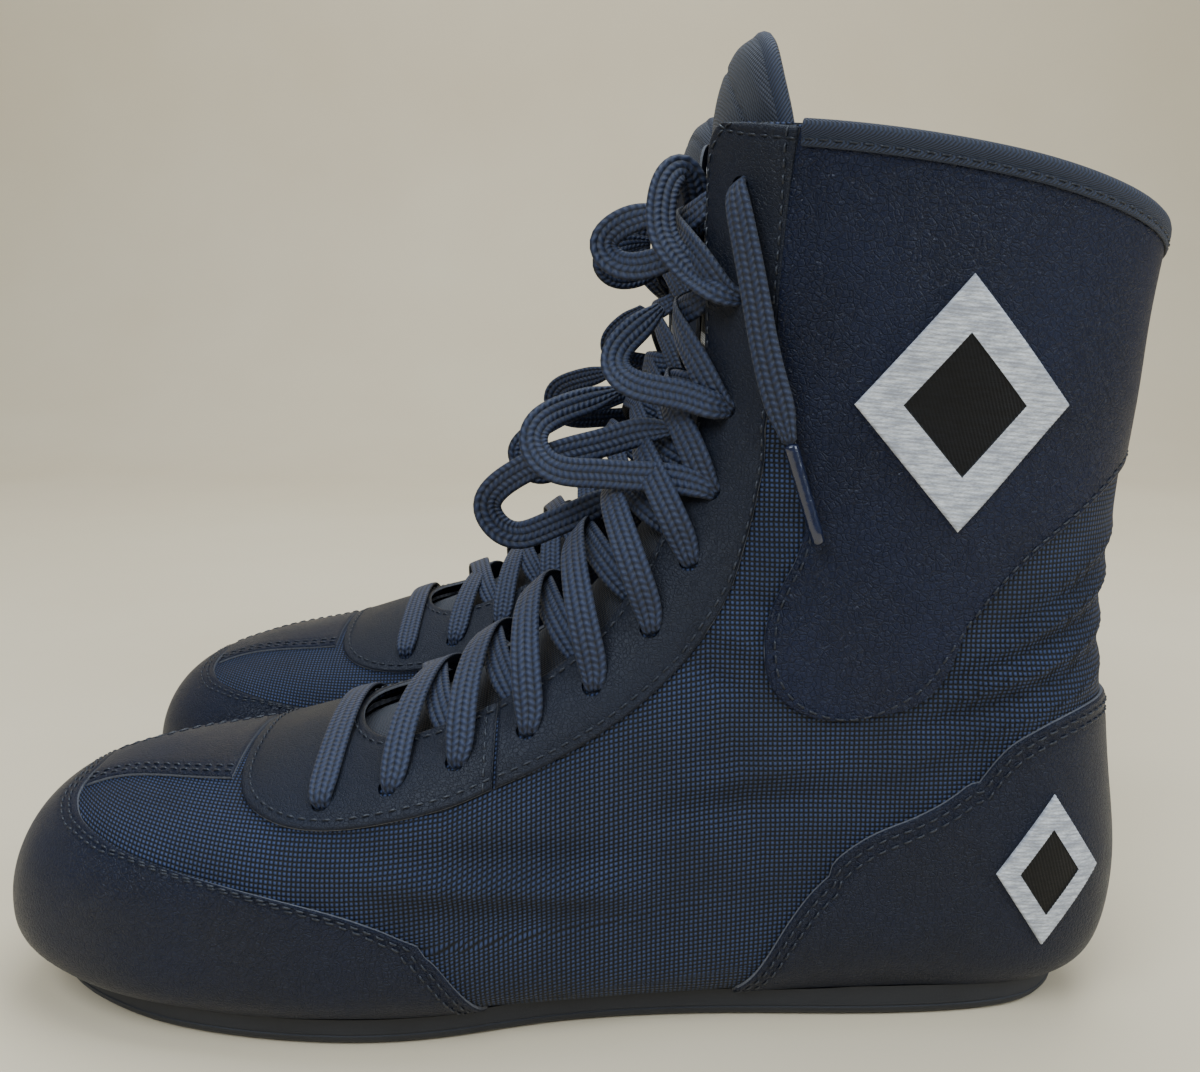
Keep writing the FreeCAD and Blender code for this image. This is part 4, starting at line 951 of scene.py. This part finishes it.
def embroidery(name, colour, shadow):
    """Rayon embroidery thread: glossy along its rows, 0.85 mm apart, with stitch ends every few mm; its colour is
    mixed towards the shadow colour by the stitch-end cells and fibre noise, as painted shade between stitches.
    """
    made, tree = new_material(name)
    place = node(tree, "ShaderNodeTexCoord", {}, "Object")
    turned = node(tree, "ShaderNodeMapping", {0: place, 2: (0.0, math.radians(8.0), 0.0), 3: (250.0, 1.0, 1180.0)})
    ends = node(tree, "ShaderNodeTexVoronoi", {"Vector": turned, "Scale": 1.0}, "Distance")
    fibres = node(tree, "ShaderNodeTexNoise", {"Vector": turned, "Scale": 6.0, "Detail": 3.0})
    mixed = node(tree, "ShaderNodeMath", {0: ends, 1: 0.6, 2: fibres}, operation="MULTIPLY_ADD")
    shade = node(tree, "ShaderNodeMapRange", {0: mixed, 1: 0.45, 2: 1.0})
    # Painted shade: the thread's own colour is darkened towards the shadow colour between stitches.
    dyed_with_painted_shade = node(tree, "ShaderNodeMix", {0: shade, 6: linear(colour), 7: linear(shadow)}, 2, data_type="RGBA")
    node(tree, "Principled BSDF", {"Base Color": dyed_with_painted_shade, "Roughness": 0.45, "Specular IOR Level": 0.25, "Normal": node(
        tree, "ShaderNodeBump", {"Height": mixed, "Distance": 0.00012, "Strength": 0.8})})
    return made


white_thread = embroidery("white_rayon_embroidery", "d9dce0", "9a9da6")
black_thread = embroidery("black_rayon_embroidery", "0c0d11", "040406")
for name, patch, size in (("shaft_badge", lozenge(240.0, 157.0, 24.0, 29.0, (17.3, -0.5)), 38.0),
                          ("heel_badge", lozenge(267.5, 43.0, 13.0, 20.0, (13.7, -0.8)), 24.0)):
    steps = spaced(size, 0.22, rim=(0.12, 0.3, 0.5))
    sheet = lay(patch, steps, steps, ON_LEATHER, ON_LEATHER + 0.75, rounded=(), lift=thread_rows, surface=skin)
    made = pair(f"embroidered_{name}", *shell(sheet), white_thread, "embroidery_thread", stands_for=[name])
    middle = (steps[:-1] + steps[1:]) / 2.0
    ring = np.maximum(np.abs(2.0 * middle[:, None] - 1.0), np.abs(2.0 * middle[None, :] - 1.0)).ravel()
    second_material(made, black_thread, ring < BORDER_FROM)


# =============================================================================================
# Tongue and its label
# Padded tongue: 4 mm foam between a woven face and a knit back, bound round its edge with tape
# and crossed near its top by a seam. A plain woven label is sewn to its middle.
# =============================================================================================
TONGUE_LOW, TONGUE_HIGH = -8.6, -3.6
TONGUE_FRONT, TONGUE_TOP = 5.6, 23.0
TONGUE_WIDTHS = ([5.7, 7.0, 9.0, 10.5, 12.0, 14.0, 24.0], [24.0, 31.0, 37.0, 34.0, 31.0, 31.0, 36.0])


def tongue(u, v):
    """From under the front of the throat up past the collar, with a rounded top."""
    across = 2.0 * v - 1.0
    station = TONGUE_FRONT + (TONGUE_TOP - 2.7 * across ** 2 - 0.3 * across ** 4 - TONGUE_FRONT) * u
    return station, across * np.interp(station, *TONGUE_WIDTHS) / girth(station)


def puffed(u, v, base):
    """The foam: full in the middle, thin at the bound edge, with a sunk seam across near the top."""
    edge = np.minimum(np.minimum(v, 1.0 - v) * 66.0, (1.0 - u) * 250.0)
    seam = u - 0.935 - 0.05 * (2.0 * v - 1.0)
    return -1.7 * np.exp(-(edge / 5.0) ** 2) - 0.7 * np.exp(-(seam * 250.0 / 1.1) ** 2)


tongue_cloth, tree = new_material("woven_polyester_face")
# Plain-woven polyester: charcoal navy, matt, threads 0.9 mm apart.
cloth = node(tree, "ShaderNodeUVMap", {}, uv_map="UVMap")
turns = node(tree, "ShaderNodeVectorMath", {0: cloth, "Scale": math.pi / 0.0009}, operation="SCALE")
waves = node(tree, "ShaderNodeVectorMath", {0: turns}, operation="SINE")
over_under = node(tree, "ShaderNodeVectorMath", {0: waves}, operation="ABSOLUTE")
split = tree.nodes.new("ShaderNodeSeparateXYZ")
tree.links.new(over_under, split.inputs[0])
threads = node(tree, "ShaderNodeMath", {0: split.outputs[0], 1: split.outputs[1]}, operation="ADD")
contrast = node(tree, "ShaderNodeMapRange", {0: threads, 1: 0.4, 2: 1.9})
face_colour = node(tree, "ShaderNodeMix", {0: contrast, 6: linear("090b12"), 7: linear("222838")}, 2, data_type="RGBA")
node(tree, "Principled BSDF", {"Base Color": face_colour, "Roughness": 0.75, "Sheen Weight": 0.1,
                               "Normal": node(tree, "ShaderNodeBump", {"Height": threads, "Distance": 0.0002})})
sheet = lay(tongue, spaced(270.0, 1.7), spaced(70.0, 1.5), TONGUE_LOW, TONGUE_HIGH, lift=puffed, surface=lasted)
for piece in pair("padded_tongue", *shell(sheet), tongue_cloth, "tongue_fabric", part="tongue",
                  uv=strip_uv(sheet), stands_for=["tongue"]):
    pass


def tube_round(line, facing, wide, high, sides=12):
    """A flattened oval carried along a line, its flat side towards the facing; ends drawn to points."""
    tangent = np.gradient(line, axis=0)
    across = cross_unit(tangent, facing)
    up = cross_unit(across, tangent)
    angle = np.arange(sides + 1) * 2.0 * math.pi / sides
    size = np.ones(len(line))
    size[[0, -1]] = 0.02
    oval = (np.cos(angle)[None, :, None] * across[:, None] * wide / 2.0
            + np.sin(angle)[None, :, None] * up[:, None] * high / 2.0)
    return line[:, None] + oval * size[:, None, None]


# The bound edge: up one side of the tongue, over its top and down the other, 4.5 mm wide.
grid = sheet["outer"] * 0.5 + sheet["inner"] * 0.5
edge_line = np.concatenate([grid[3:-3, 1], grid[-2, 3:-3], grid[-4:2:-1, -2]])
edge_facing = np.concatenate([sheet["facing"][3:-3, 1], sheet["facing"][-2, 3:-3], sheet["facing"][-4:2:-1, -2]])
for _ in range(6):
    edge_line[1:-1] = (edge_line[:-2] + 2.0 * edge_line[1:-1] + edge_line[2:]) / 4.0
tube = tube_round(edge_line, edge_facing, 5.0, 4.4)
strip = np.stack(np.broadcast_arrays(run_length(edge_line)[:, None], np.linspace(0.0, 14.0, tube.shape[1])), -1)
pair("tongue_binding", tube.reshape(-1, 3), grid_quads(*tube.shape[:2]), binding_twill, "tongue_fabric",
     part="tongue", uv=strip.reshape(-1, 2) * MM)

LABEL_HALF = 11.0
LABEL_STATIONS = (13.2, 19.0)


def label(u, v):
    """A rectangle up the middle of the tongue, 22 mm wide."""
    station = LABEL_STATIONS[0] + (LABEL_STATIONS[1] - LABEL_STATIONS[0]) * u
    return station, (2.0 * v - 1.0) * LABEL_HALF / girth(station)


def damask(name, ground, face):
    """Woven damask: polyester threads 0.6 mm apart, drawn so that they show, slightly glossy."""
    made, tree = new_material(name)
    cloth = node(tree, "ShaderNodeUVMap", {}, uv_map="UVMap")
    picks = node(tree, "ShaderNodeTexWave", {"Vector": cloth, "Scale": 520.0}, "Fac")
    colour = node(tree, "ShaderNodeMix", {0: picks, 6: linear(ground), 7: linear(face)}, 2, data_type="RGBA")
    node(tree, "Principled BSDF", {"Base Color": colour, "Roughness": 0.5,
                                   "Normal": node(tree, "ShaderNodeBump", {"Height": picks, "Distance": 0.0001})})
    return made


label_white = damask("woven_damask_label", "a9acb3", "dfe1e4")
label_black = damask("woven_damask_label_dark", "0c0d10", "1f2127")
us, vs = spaced(92.0, 1.0, rim=(0.1, 0.3, 0.5)), spaced(22.0, 0.8, rim=(0.1, 0.3, 0.5))
sheet = lay(label, us, vs, TONGUE_HIGH + 0.03, TONGUE_HIGH + 0.6, surface=lasted)
made = pair("woven_tongue_label", *shell(sheet), label_white, "label_fabric", part="tongue",
            uv=strip_uv(sheet), stands_for=["tongue_label"])
u, v = (us[:-1] + us[1:])[:, None] / 2.0, (vs[:-1] + vs[1:])[None, :] / 2.0
inset = (np.abs(2.0 * v - 1.0) < 0.72) & (((u > 0.06) & (u < 0.62)) | ((u > 0.68) & (u < 0.94)))
second_material(made, label_black, inset)


# =============================================================================================
# Laces
# Flat braided polyester cord, 7.5 mm wide. It enters the first holes under a bar and then
# criss-crosses: over the leather into each hole, and up from under the leather on the far side.
# The upper rows hang slack in loops.
# =============================================================================================
LACE_WIDE, LACE_THICK = 7.5, 1.3
# How far each row's two strands stand off the gap, the upper one first.
ROW_LIFTS = [(3.5, 2.0), (5.0, 3.0), (7.5, 5.0), (9.0, 6.5), (9.0, 6.0), (7.0, 4.5), (4.0, 2.6), (3.0, 2.0),
             (3.0, 1.6), (3.0, 1.6)]
# Slack loops in front of the ankle: the hole they start from, if any, and points along, across and up.
SLACK_LOOPS = [
    (7, [(181, -24, 137), (174, -21, 138), (165, -17, 138), (157, -13, 138), (150, -10, 138), (144, -7, 140),
     (141, -4, 145), (143, -1, 150), (149, 3, 153), (156, 7, 155), (163, 11, 157)]),
    (None, [(177, -14, 149), (168, -10, 148), (159, -6, 145), (149, -2, 142), (140, 2, 138), (132, 4, 133),
            (128, 5, 127), (131, 5, 121), (137, 5, 119), (145, 4, 122), (156, 3, 127), (165, 4, 132)]),
    (8, [(184, -23, 156), (177, -19, 158), (167, -14, 160), (162, -9, 164), (163, -5, 169),
     (168, -2, 174), (174, 3, 179)]),
    (9, [(185, -23, 183), (181, -18, 186), (176, -15, 191), (173, -12, 197), (173, -9, 204),
     (175, -6, 210), (179, -3, 212), (182, 0, 206), (183, 3, 196)]),
    (None, [(176, 0, 202), (167, 4, 201), (161, 6, 198), (159, 6, 194), (162, 4, 190), (168, 2, 189),
            (175, 0, 191), (181, -3, 194)]),
]


def smooth_path(points, step=1.2):
    """Points at equal steps along a natural spline through the given ones."""
    points = np.asarray(points, float)
    dense = spline(points, np.linspace(0.0, len(points) - 1.0, 60 * len(points)))
    length = run_length(dense)
    return between_rows(np.linspace(0.0, length[-1], max(int(length[-1] / step), 4) + 1), length, dense)


def flat_cord(line, facing):
    """A flat braid along a line: a rounded-oblong section square to it, with its path length as UV.

    The section is a superellipse of power 3.2. Towards both ends the braid is gathered to about
    half its width, where it enters a hole or an aglet, and it closes to a point there.
    """
    tangent = np.gradient(line, axis=0)
    across = cross_unit(tangent, facing)
    up = cross_unit(across, tangent)
    angle = np.arange(17) * 2.0 * math.pi / 16
    cosine, sine = np.cos(angle), np.sin(angle)
    a = np.sign(cosine) * np.abs(cosine) ** (2.0 / 3.2) * LACE_WIDE / 2.0
    b = np.sign(sine) * np.abs(sine) ** (2.0 / 3.2) * LACE_THICK / 2.0
    along = run_length(line)
    near = np.minimum(along, along[-1] - along)
    closing = (np.clip(near / 0.6, 0.0, 1.0) ** 0.5)[:, None, None]
    gather = (1.0 - 0.54 * np.exp(-(near / 6.0) ** 2))[:, None, None]
    ring = (a[None, :, None] * across[:, None] * gather + b[None, :, None] * up[:, None] / gather ** 0.5) * closing
    uv = np.stack(np.broadcast_arrays(along[:, None], a[None, :] + 10.0 * (sine[None, :] < 0.0)), -1)
    return line[:, None] + ring, uv.reshape(-1, 2) * MM


def on_boot(path):
    """Points and facings from (station, signed distance from the top line, height over the skin)."""
    station, arc, height = np.asarray(path, float).T
    share = arc / girth(station)
    facing = outward(station, share)
    return lasted(station, share) + facing * height[:, None], facing


def over_leather(path):
    """A smooth line through (station, signed distance, height) points, with its facings."""
    points, facing = on_boot(path)
    line = smooth_path(points)
    return line, between_rows(np.linspace(0.0, 1.0, len(line)), np.linspace(0.0, 1.0, len(facing)), facing)


def strand(below, above, sign, lift):
    """One crossing: out of its hole, over the gap, and under the opposite leather edge."""
    hole_s, hole_a = below
    gap_s = 0.30 * hole_s + 0.70 * above[0]
    edge = np.interp(gap_s, THROAT_STATIONS, THROAT_REACH)
    mid_s = 0.5 * (hole_s + gap_s)
    path = [(hole_s + 0.03, sign * (hole_a + 1.6), -2.6), (hole_s + 0.02, sign * (hole_a + 0.1), 1.2),
            (hole_s + 0.05, sign * (hole_a - 3.6), 2.9),
            (0.75 * hole_s + 0.25 * gap_s, sign * hole_a * 0.62, 2.0 + lift * 0.8),
            (mid_s, sign * hole_a * 0.12, 1.2 + lift),
            (0.25 * hole_s + 0.75 * gap_s, -sign * edge * 0.55, 0.2 + lift * 0.6),
            (gap_s, -sign * (edge - 1.5), -1.3), (gap_s + 0.05, -sign * (edge + 4.5), -1.7)]
    return over_leather(path)


bar = [(5.87, -42.3, -2.4), (5.87, -40.7, 1.4), (5.87, -37.0, 2.9), (5.87, -20.0, 3.2)]
lines = [over_leather(bar + [(5.87, 0.0, 3.6)] + [(s, -a, h) for s, a, h in reversed(bar)])]
for (below, above), (over, under) in zip(zip(EYELETS[1:], EYELETS[2:]), ROW_LIFTS):
    lines.append(strand(below, above, -1.0, over))
    lines.append(strand(below, above, 1.0, under))
for row, loop in SLACK_LOOPS:
    if row is not None:
        s, a = EYELETS[row]
        loop = [tuple(p) for p in on_boot([(s, -a - 1.4, -2.4), (s, -a, 1.5)])[0]] + loop
    line = smooth_path(loop)
    tangent = np.gradient(line, axis=0)
    lines.append((line, cross_unit(cross_unit(tangent, np.array([0.15, -1.0, 0.25])), tangent)))
lace_points, lace_quads, lace_uv, start = [], [], [], 0
for line, facing in lines:
    tube, uv = flat_cord(line, facing)
    lace_points.append(tube.reshape(-1, 3))
    lace_uv.append(uv)
    lace_quads.append(grid_quads(*tube.shape[:2], start))
    start += tube.shape[0] * tube.shape[1]

lace_braid, tree = new_material("flat_braided_lace")
# Flat tubular braid of textured polyester: slate navy, in herringbone rows 1.7 mm apart that
# meet in the middle of its width.
cloth = node(tree, "ShaderNodeUVMap", {}, uv_map="UVMap")
split = tree.nodes.new("ShaderNodeSeparateXYZ")
tree.links.new(cloth, split.inputs[0])
lane = node(tree, "ShaderNodeMath", {0: split.outputs[1], 1: 1.0 / 0.0019}, operation="MULTIPLY")
zigzag = node(tree, "ShaderNodeMath", {0: lane, 1: 1.0}, operation="PINGPONG")
shifted = node(tree, "ShaderNodeMath", {0: split.outputs[0], 1: 2.0 * math.pi / 0.0017, 2: node(
    tree, "ShaderNodeMath", {0: zigzag, 1: 3.0}, operation="MULTIPLY")}, operation="MULTIPLY_ADD")
plait = node(tree, "ShaderNodeMath", {0: shifted}, operation="SINE")
across = node(tree, "ShaderNodeMath", {0: node(tree, "ShaderNodeMath", {0: lane, 1: math.pi}, operation="MULTIPLY")},
              operation="SINE")
groove = node(tree, "ShaderNodeMath", {0: across}, operation="ABSOLUTE")
braid = node(tree, "ShaderNodeMath", {0: plait, 1: 0.35, 2: groove}, operation="MULTIPLY_ADD")
fuzz = node(tree, "ShaderNodeTexNoise", {"Vector": cloth, "Scale": 2500.0, "Detail": 2.0})
height = node(tree, "ShaderNodeMath", {0: fuzz, 1: 0.35, 2: braid}, operation="MULTIPLY_ADD")
contrast = node(tree, "ShaderNodeMapRange", {0: height, 1: 0.05, 2: 1.35})
braid_colour = node(tree, "ShaderNodeMix", {0: contrast, 6: linear("080c18"), 7: linear("1f2b48")}, 2,
                    data_type="RGBA")
node(tree, "Principled BSDF", {"Base Color": braid_colour, "Roughness": 0.62, "Sheen Weight": 0.05,
                               "Normal": node(tree, "ShaderNodeBump", {"Height": height, "Distance": 0.00035})})
pair("lace_rows", np.concatenate(lace_points), np.concatenate(lace_quads), lace_braid, "lace_cord",
     uv=np.concatenate(lace_uv), stands_for=["lace"])


# =============================================================================================
# Lace ends and aglets
# The two free ends leave the top holes and hang down the outside of the shaft. Each is closed by
# a 24 mm aglet of shiny film, rolled and shrunk on.
# =============================================================================================
# Up out of the top hole and down the shaft: station, distance from the top line, height.
END_ROUTE = [(18.75, 26.2, -2.6), (18.62, 27.0, 1.6), (18.3, 28.8, 3.6), (17.5, 32.6, 4.6), (16.4, 37.5, 5.2),
             (15.1, 44.0, 6.2), (14.1, 52.0, 6.0)]
AGLET_BORE = 3.4

aglet_film, tree = new_material("shrunk_film_aglet")
# Shrunk acetate film over the braid: glossy navy, with the braid's ridges faintly through it.
place = node(tree, "ShaderNodeTexCoord", {}, "Object")
ridges = node(tree, "ShaderNodeTexNoise", {"Vector": place, "Scale": 900.0, "Detail": 2.0})
film_colour = node(tree, "ShaderNodeMix", {0: ridges, 6: linear("0a0e1c"), 7: linear("1b2544")}, 2, data_type="RGBA")
node(tree, "Principled BSDF", {"Base Color": film_colour, "Roughness": 0.18, "Coat Weight": 0.6,
                               "Normal": node(tree, "ShaderNodeBump", {"Height": ridges, "Distance": 0.0001})})
for side, sign in SIDES:
    steps = spline(np.array(END_ROUTE), np.linspace(0.0, len(END_ROUTE) - 1.0, 13))
    route, facing = on_boot(steps * (1.0, sign, 1.0))
    curve = bpy.data.curves.new("lace_route", "CURVE")
    curve.dimensions = "3D"
    run = curve.splines.new("NURBS")
    run.points.add(len(route) - 1)
    run.points.foreach_set("co", np.concatenate([route, np.ones((len(route), 1))], axis=1).ravel())
    run.order_u, run.use_endpoint_u, run.resolution_u = 3, True, 12
    guide = bpy.data.objects.new("lace_route", curve)
    bpy.context.scene.collection.objects.link(guide)
    bpy.context.view_layer.update()
    traced = bpy.data.meshes.new_from_object(guide.evaluated_get(bpy.context.evaluated_depsgraph_get()))
    line = np.array([tuple(vertex.co) for vertex in traced.vertices])
    bpy.data.objects.remove(guide)
    facings = between_rows(np.linspace(0.0, 1.0, len(line)), np.linspace(0.0, 1.0, len(facing)), facing)
    tube, uv = flat_cord(line, facings)
    ends = pair(f"braided_lace_end_{side}", tube.reshape(-1, 3), grid_quads(*tube.shape[:2]), lace_braid,
                "lace_cord", uv=uv, stands_for=[f"lace_end_{side}"])
    heading = line[-1] - line[-2]
    heading /= np.linalg.norm(heading)
    barrel = np.array([-0.6, 0.0, 0.3, 1.0, 4.0, 12.0, 20.0, 23.0, 23.7, 24.0])
    round_off = np.array([0.02, 0.92, 1.0, 1.0, 0.97, 0.94, 0.94, 0.9, 0.62, 0.02])
    core = line[-1] + barrel[:, None] * heading
    square = cross_unit(heading, facings[-1])
    lift = cross_unit(square, heading)
    angle = np.arange(25) * 2.0 * math.pi / 24
    ring = (np.cos(angle)[:, None] * square + np.sin(angle)[:, None] * lift) * AGLET_BORE / 2.0
    tip = core[:, None] + ring[None] * round_off[:, None, None]
    tips = pair(f"film_aglet_{side}", tip.reshape(-1, 3), grid_quads(*tip.shape[:2]), aglet_film, "aglet_plastic",
                stands_for=[f"aglet_{side}"])


# =============================================================================================
# Outsole
# A thin, flexible gum-rubber sheet, compression moulded, with a fine herringbone tread and a
# pivot circle under the ball. It is stuck to the turned-in edge of the upper.
# =============================================================================================
SOLE_THICK, TOE_SPRING, SPRING_START, SPRING_REACH = 3.8, 7.5, 52.0, 60.0


def spring_lift(x):
    """Rise of the sole ahead of the ball: a parabola up to the toe."""
    return TOE_SPRING * np.clip((SPRING_START - x) / SPRING_REACH, 0.0, 1.2) ** 2


def tread(x, y, inside):
    """Depth of the tread grooves: herringbone bars, rings under the ball, plain at the rim."""
    zigzag = np.abs((y + 200.0) % 14.0 - 7.0) * 0.7
    bars = (np.sin((x + zigzag) * 2.0 * math.pi / 4.2) > 0.15).astype(float)
    ring = np.hypot(x - 84.0, y)
    rings = (np.sin(ring * 2.0 * math.pi / 4.6) > 0.2).astype(float)
    bars = np.where(ring < 25.0, rings, bars)
    return 0.8 * bars * np.clip((inside - 6.0) / 0.8, 0.0, 1.0)


def under_upper(ring, samples):
    """Height of the upper's underside over each point of a ring: its nearest sample in plan, smoothed."""
    gap = (ring[:, None, 0] - samples[None, :, 0]) ** 2 + (ring[:, None, 1] - samples[None, :, 1]) ** 2
    height = samples[np.argmin(gap, axis=1), 2]
    window = np.hanning(27)[1:-1] / np.hanning(27).sum()
    return np.convolve(np.concatenate([height[-12:], height, height[:12]]), window, "valid")


RIM_STEPS = 720
# The upper's underside below 20 mm: on the leather's face at the toe and heel, on the mesh between.
MESH_FROM, MESH_TO = 127.0, 197.0
station, share = np.meshgrid(np.linspace(0.4, 14.0, 260), np.linspace(0.5, 1.5, 140))
share = np.where(share > 1.0, share - 2.0, share)
under = lasted(station, share)
skin_height = np.where((under[..., 0] > MESH_FROM) & (under[..., 0] < MESH_TO), 0.1, LEATHER_HIGH)
under = (under + outward(station, share) * skin_height[..., None])[under[..., 2] < 20.0]
# The edge is cupped up to the upper, then steps down: distance inside the outline, and height.
CUPPED = [6.0, 4.0, 2.6, 1.5, 0.8, 0.35, 0.1]
edge = [(0.0, 3.3), (0.25, 3.1), (0.25, 2.8), (0.0, 2.6), (0.1, 1.6), (0.8, 0.7), (2.0, 0.15), (3.2, 0.0)]
spine = middle_line(RIM_STEPS)
rings = []
for share in np.linspace(1.0, 0.0, 12)[:-1]:
    ring = spine + (closed_outline(RIM_STEPS, 6.5) - spine) * (1.0 - share)
    rings.append(np.concatenate([ring, (SOLE_THICK + spring_lift(ring[:, 0]))[:, None]], axis=1))
for inset in CUPPED:
    ring = closed_outline(RIM_STEPS, inset)
    height = np.maximum(under_upper(ring, under) - 0.05, SOLE_THICK + spring_lift(ring[:, 0]))
    rings.append(np.concatenate([ring, height[:, None]], axis=1))
for inset, height in edge:
    ring = closed_outline(RIM_STEPS, inset)
    rings.append(np.concatenate([ring, (height + spring_lift(ring[:, 0]))[:, None]], axis=1))
rim_line = closed_outline(RIM_STEPS, 3.2)
reach = np.linalg.norm(rim_line - spine, axis=1)
for share in np.linspace(0.0, 1.0, 56)[1:]:
    ring = rim_line + (spine - rim_line) * share
    depth = tread(ring[:, 0], ring[:, 1], reach * share + 3.2)
    rings.append(np.concatenate([ring, (depth + spring_lift(ring[:, 0]))[:, None]], axis=1))
rings = np.array(rings)
closed = np.concatenate([rings, rings[:, :1]], axis=1)
sole_points = closed.reshape(-1, 3)
sole_quads = grid_quads(*closed.shape[:2])

sole_rubber, tree = new_material("moulded_gum_rubber")
# Compression-moulded rubber: near black and dull, with a faint bloom and mould grit of 0.5 mm.
place = node(tree, "ShaderNodeTexCoord", {}, "Object")
bloom = node(tree, "ShaderNodeTexNoise", {"Vector": place, "Scale": 45.0, "Detail": 5.0})
grit = node(tree, "ShaderNodeTexNoise", {"Vector": place, "Scale": 2000.0, "Detail": 2.0})
rubber_colour = node(tree, "ShaderNodeMix", {0: bloom, 6: linear("131419"), 7: linear("272930")}, 2, data_type="RGBA")
node(tree, "Principled BSDF", {"Base Color": rubber_colour, "Roughness": 0.62, "IOR": 1.52, "Normal": node(
    tree, "ShaderNodeBump", {"Height": grit, "Distance": 0.00012, "Strength": 0.6})})
pair("outsole_rubber", sole_points, sole_quads, sole_rubber, "outsole_rubber", stands_for=["outsole"])


# =============================================================================================
# Floor, light and camera
# A plain pale studio floor that curves up behind, and large soft lights.
# =============================================================================================
camera_data = bpy.data.cameras.new("camera")
camera_data.lens, camera_data.sensor_width = 36.0, 36.0
camera = bpy.data.objects.new("camera", camera_data)
camera.location = (0.0108, -0.375, 0.178)
camera.rotation_euler = (math.pi / 2.0 - 0.186, 0.0, 0.0)
camera_data.clip_start = 0.02
bpy.context.scene.collection.objects.link(camera)
bpy.context.scene.camera = camera

studio_floor, tree = new_material("matt_studio_floor")
# Matt pale laminate: nearly even, with a faint mottle so that it isn't a flat colour.
mottle = node(tree, "ShaderNodeTexNoise", {"Scale": 6.0, "Detail": 4.0, "Vector": node(
    tree, "ShaderNodeTexCoord", {}, "Object")})
floor_colour = node(tree, "ShaderNodeMix", {0: mottle, 6: linear("dccaaa"), 7: linear("e5d6b8")}, 2, data_type="RGBA")
node(tree, "Principled BSDF", {"Base Color": floor_colour, "Roughness": 0.7})
# Profile, carried along X: flat floor, a quarter circle of 0.5 m, and a wall.
turn = np.linspace(0.0, math.pi / 2.0, 25)
curve = np.stack([0.9 + 0.5 * np.sin(turn), 0.5 - 0.5 * np.cos(turn)], -1)
profile = np.concatenate([[[-3.0, 0.0]], curve, [[1.4, 3.0]]])
sweep = np.array([[(x, y, z) for y, z in profile] for x in (-3.0, 3.0)])
floor_mesh = bpy.data.meshes.new("floor")
floor_mesh.from_pydata(sweep.reshape(-1, 3).tolist(), [], grid_quads(*sweep.shape[:2]).tolist())
floor_mesh.polygons.foreach_set("use_smooth", np.ones(len(floor_mesh.polygons), dtype=bool))
floor = bpy.data.objects.new("floor", floor_mesh)
floor.data.materials.append(studio_floor)
bpy.context.scene.collection.objects.link(floor)

world = bpy.data.worlds.new("studio")
bpy.context.scene.world = world
world.use_nodes = True
world.node_tree.nodes["Background"].inputs["Color"].default_value = linear("dfe6f2")
world.node_tree.nodes["Background"].inputs["Strength"].default_value = 0.28
for name, place, power, size in (("key", (-0.55, -0.95, 1.2), 20.0, 0.9), ("fill", (0.95, -0.55, 0.75), 9.0, 0.7),
                                 ("top", (0.1, 0.35, 1.5), 22.0, 1.3)):
    lamp = bpy.data.lights.new(name, "AREA")
    lamp.energy, lamp.size, lamp.color = power, size, (0.80, 0.90, 1.0)
    light = bpy.data.objects.new(name, lamp)
    light.location = place
    light.rotation_euler = (Vector((0.0, 0.0, 0.1)) - Vector(place)).to_track_quat("-Z", "Y").to_euler()
    bpy.context.scene.collection.objects.link(light)
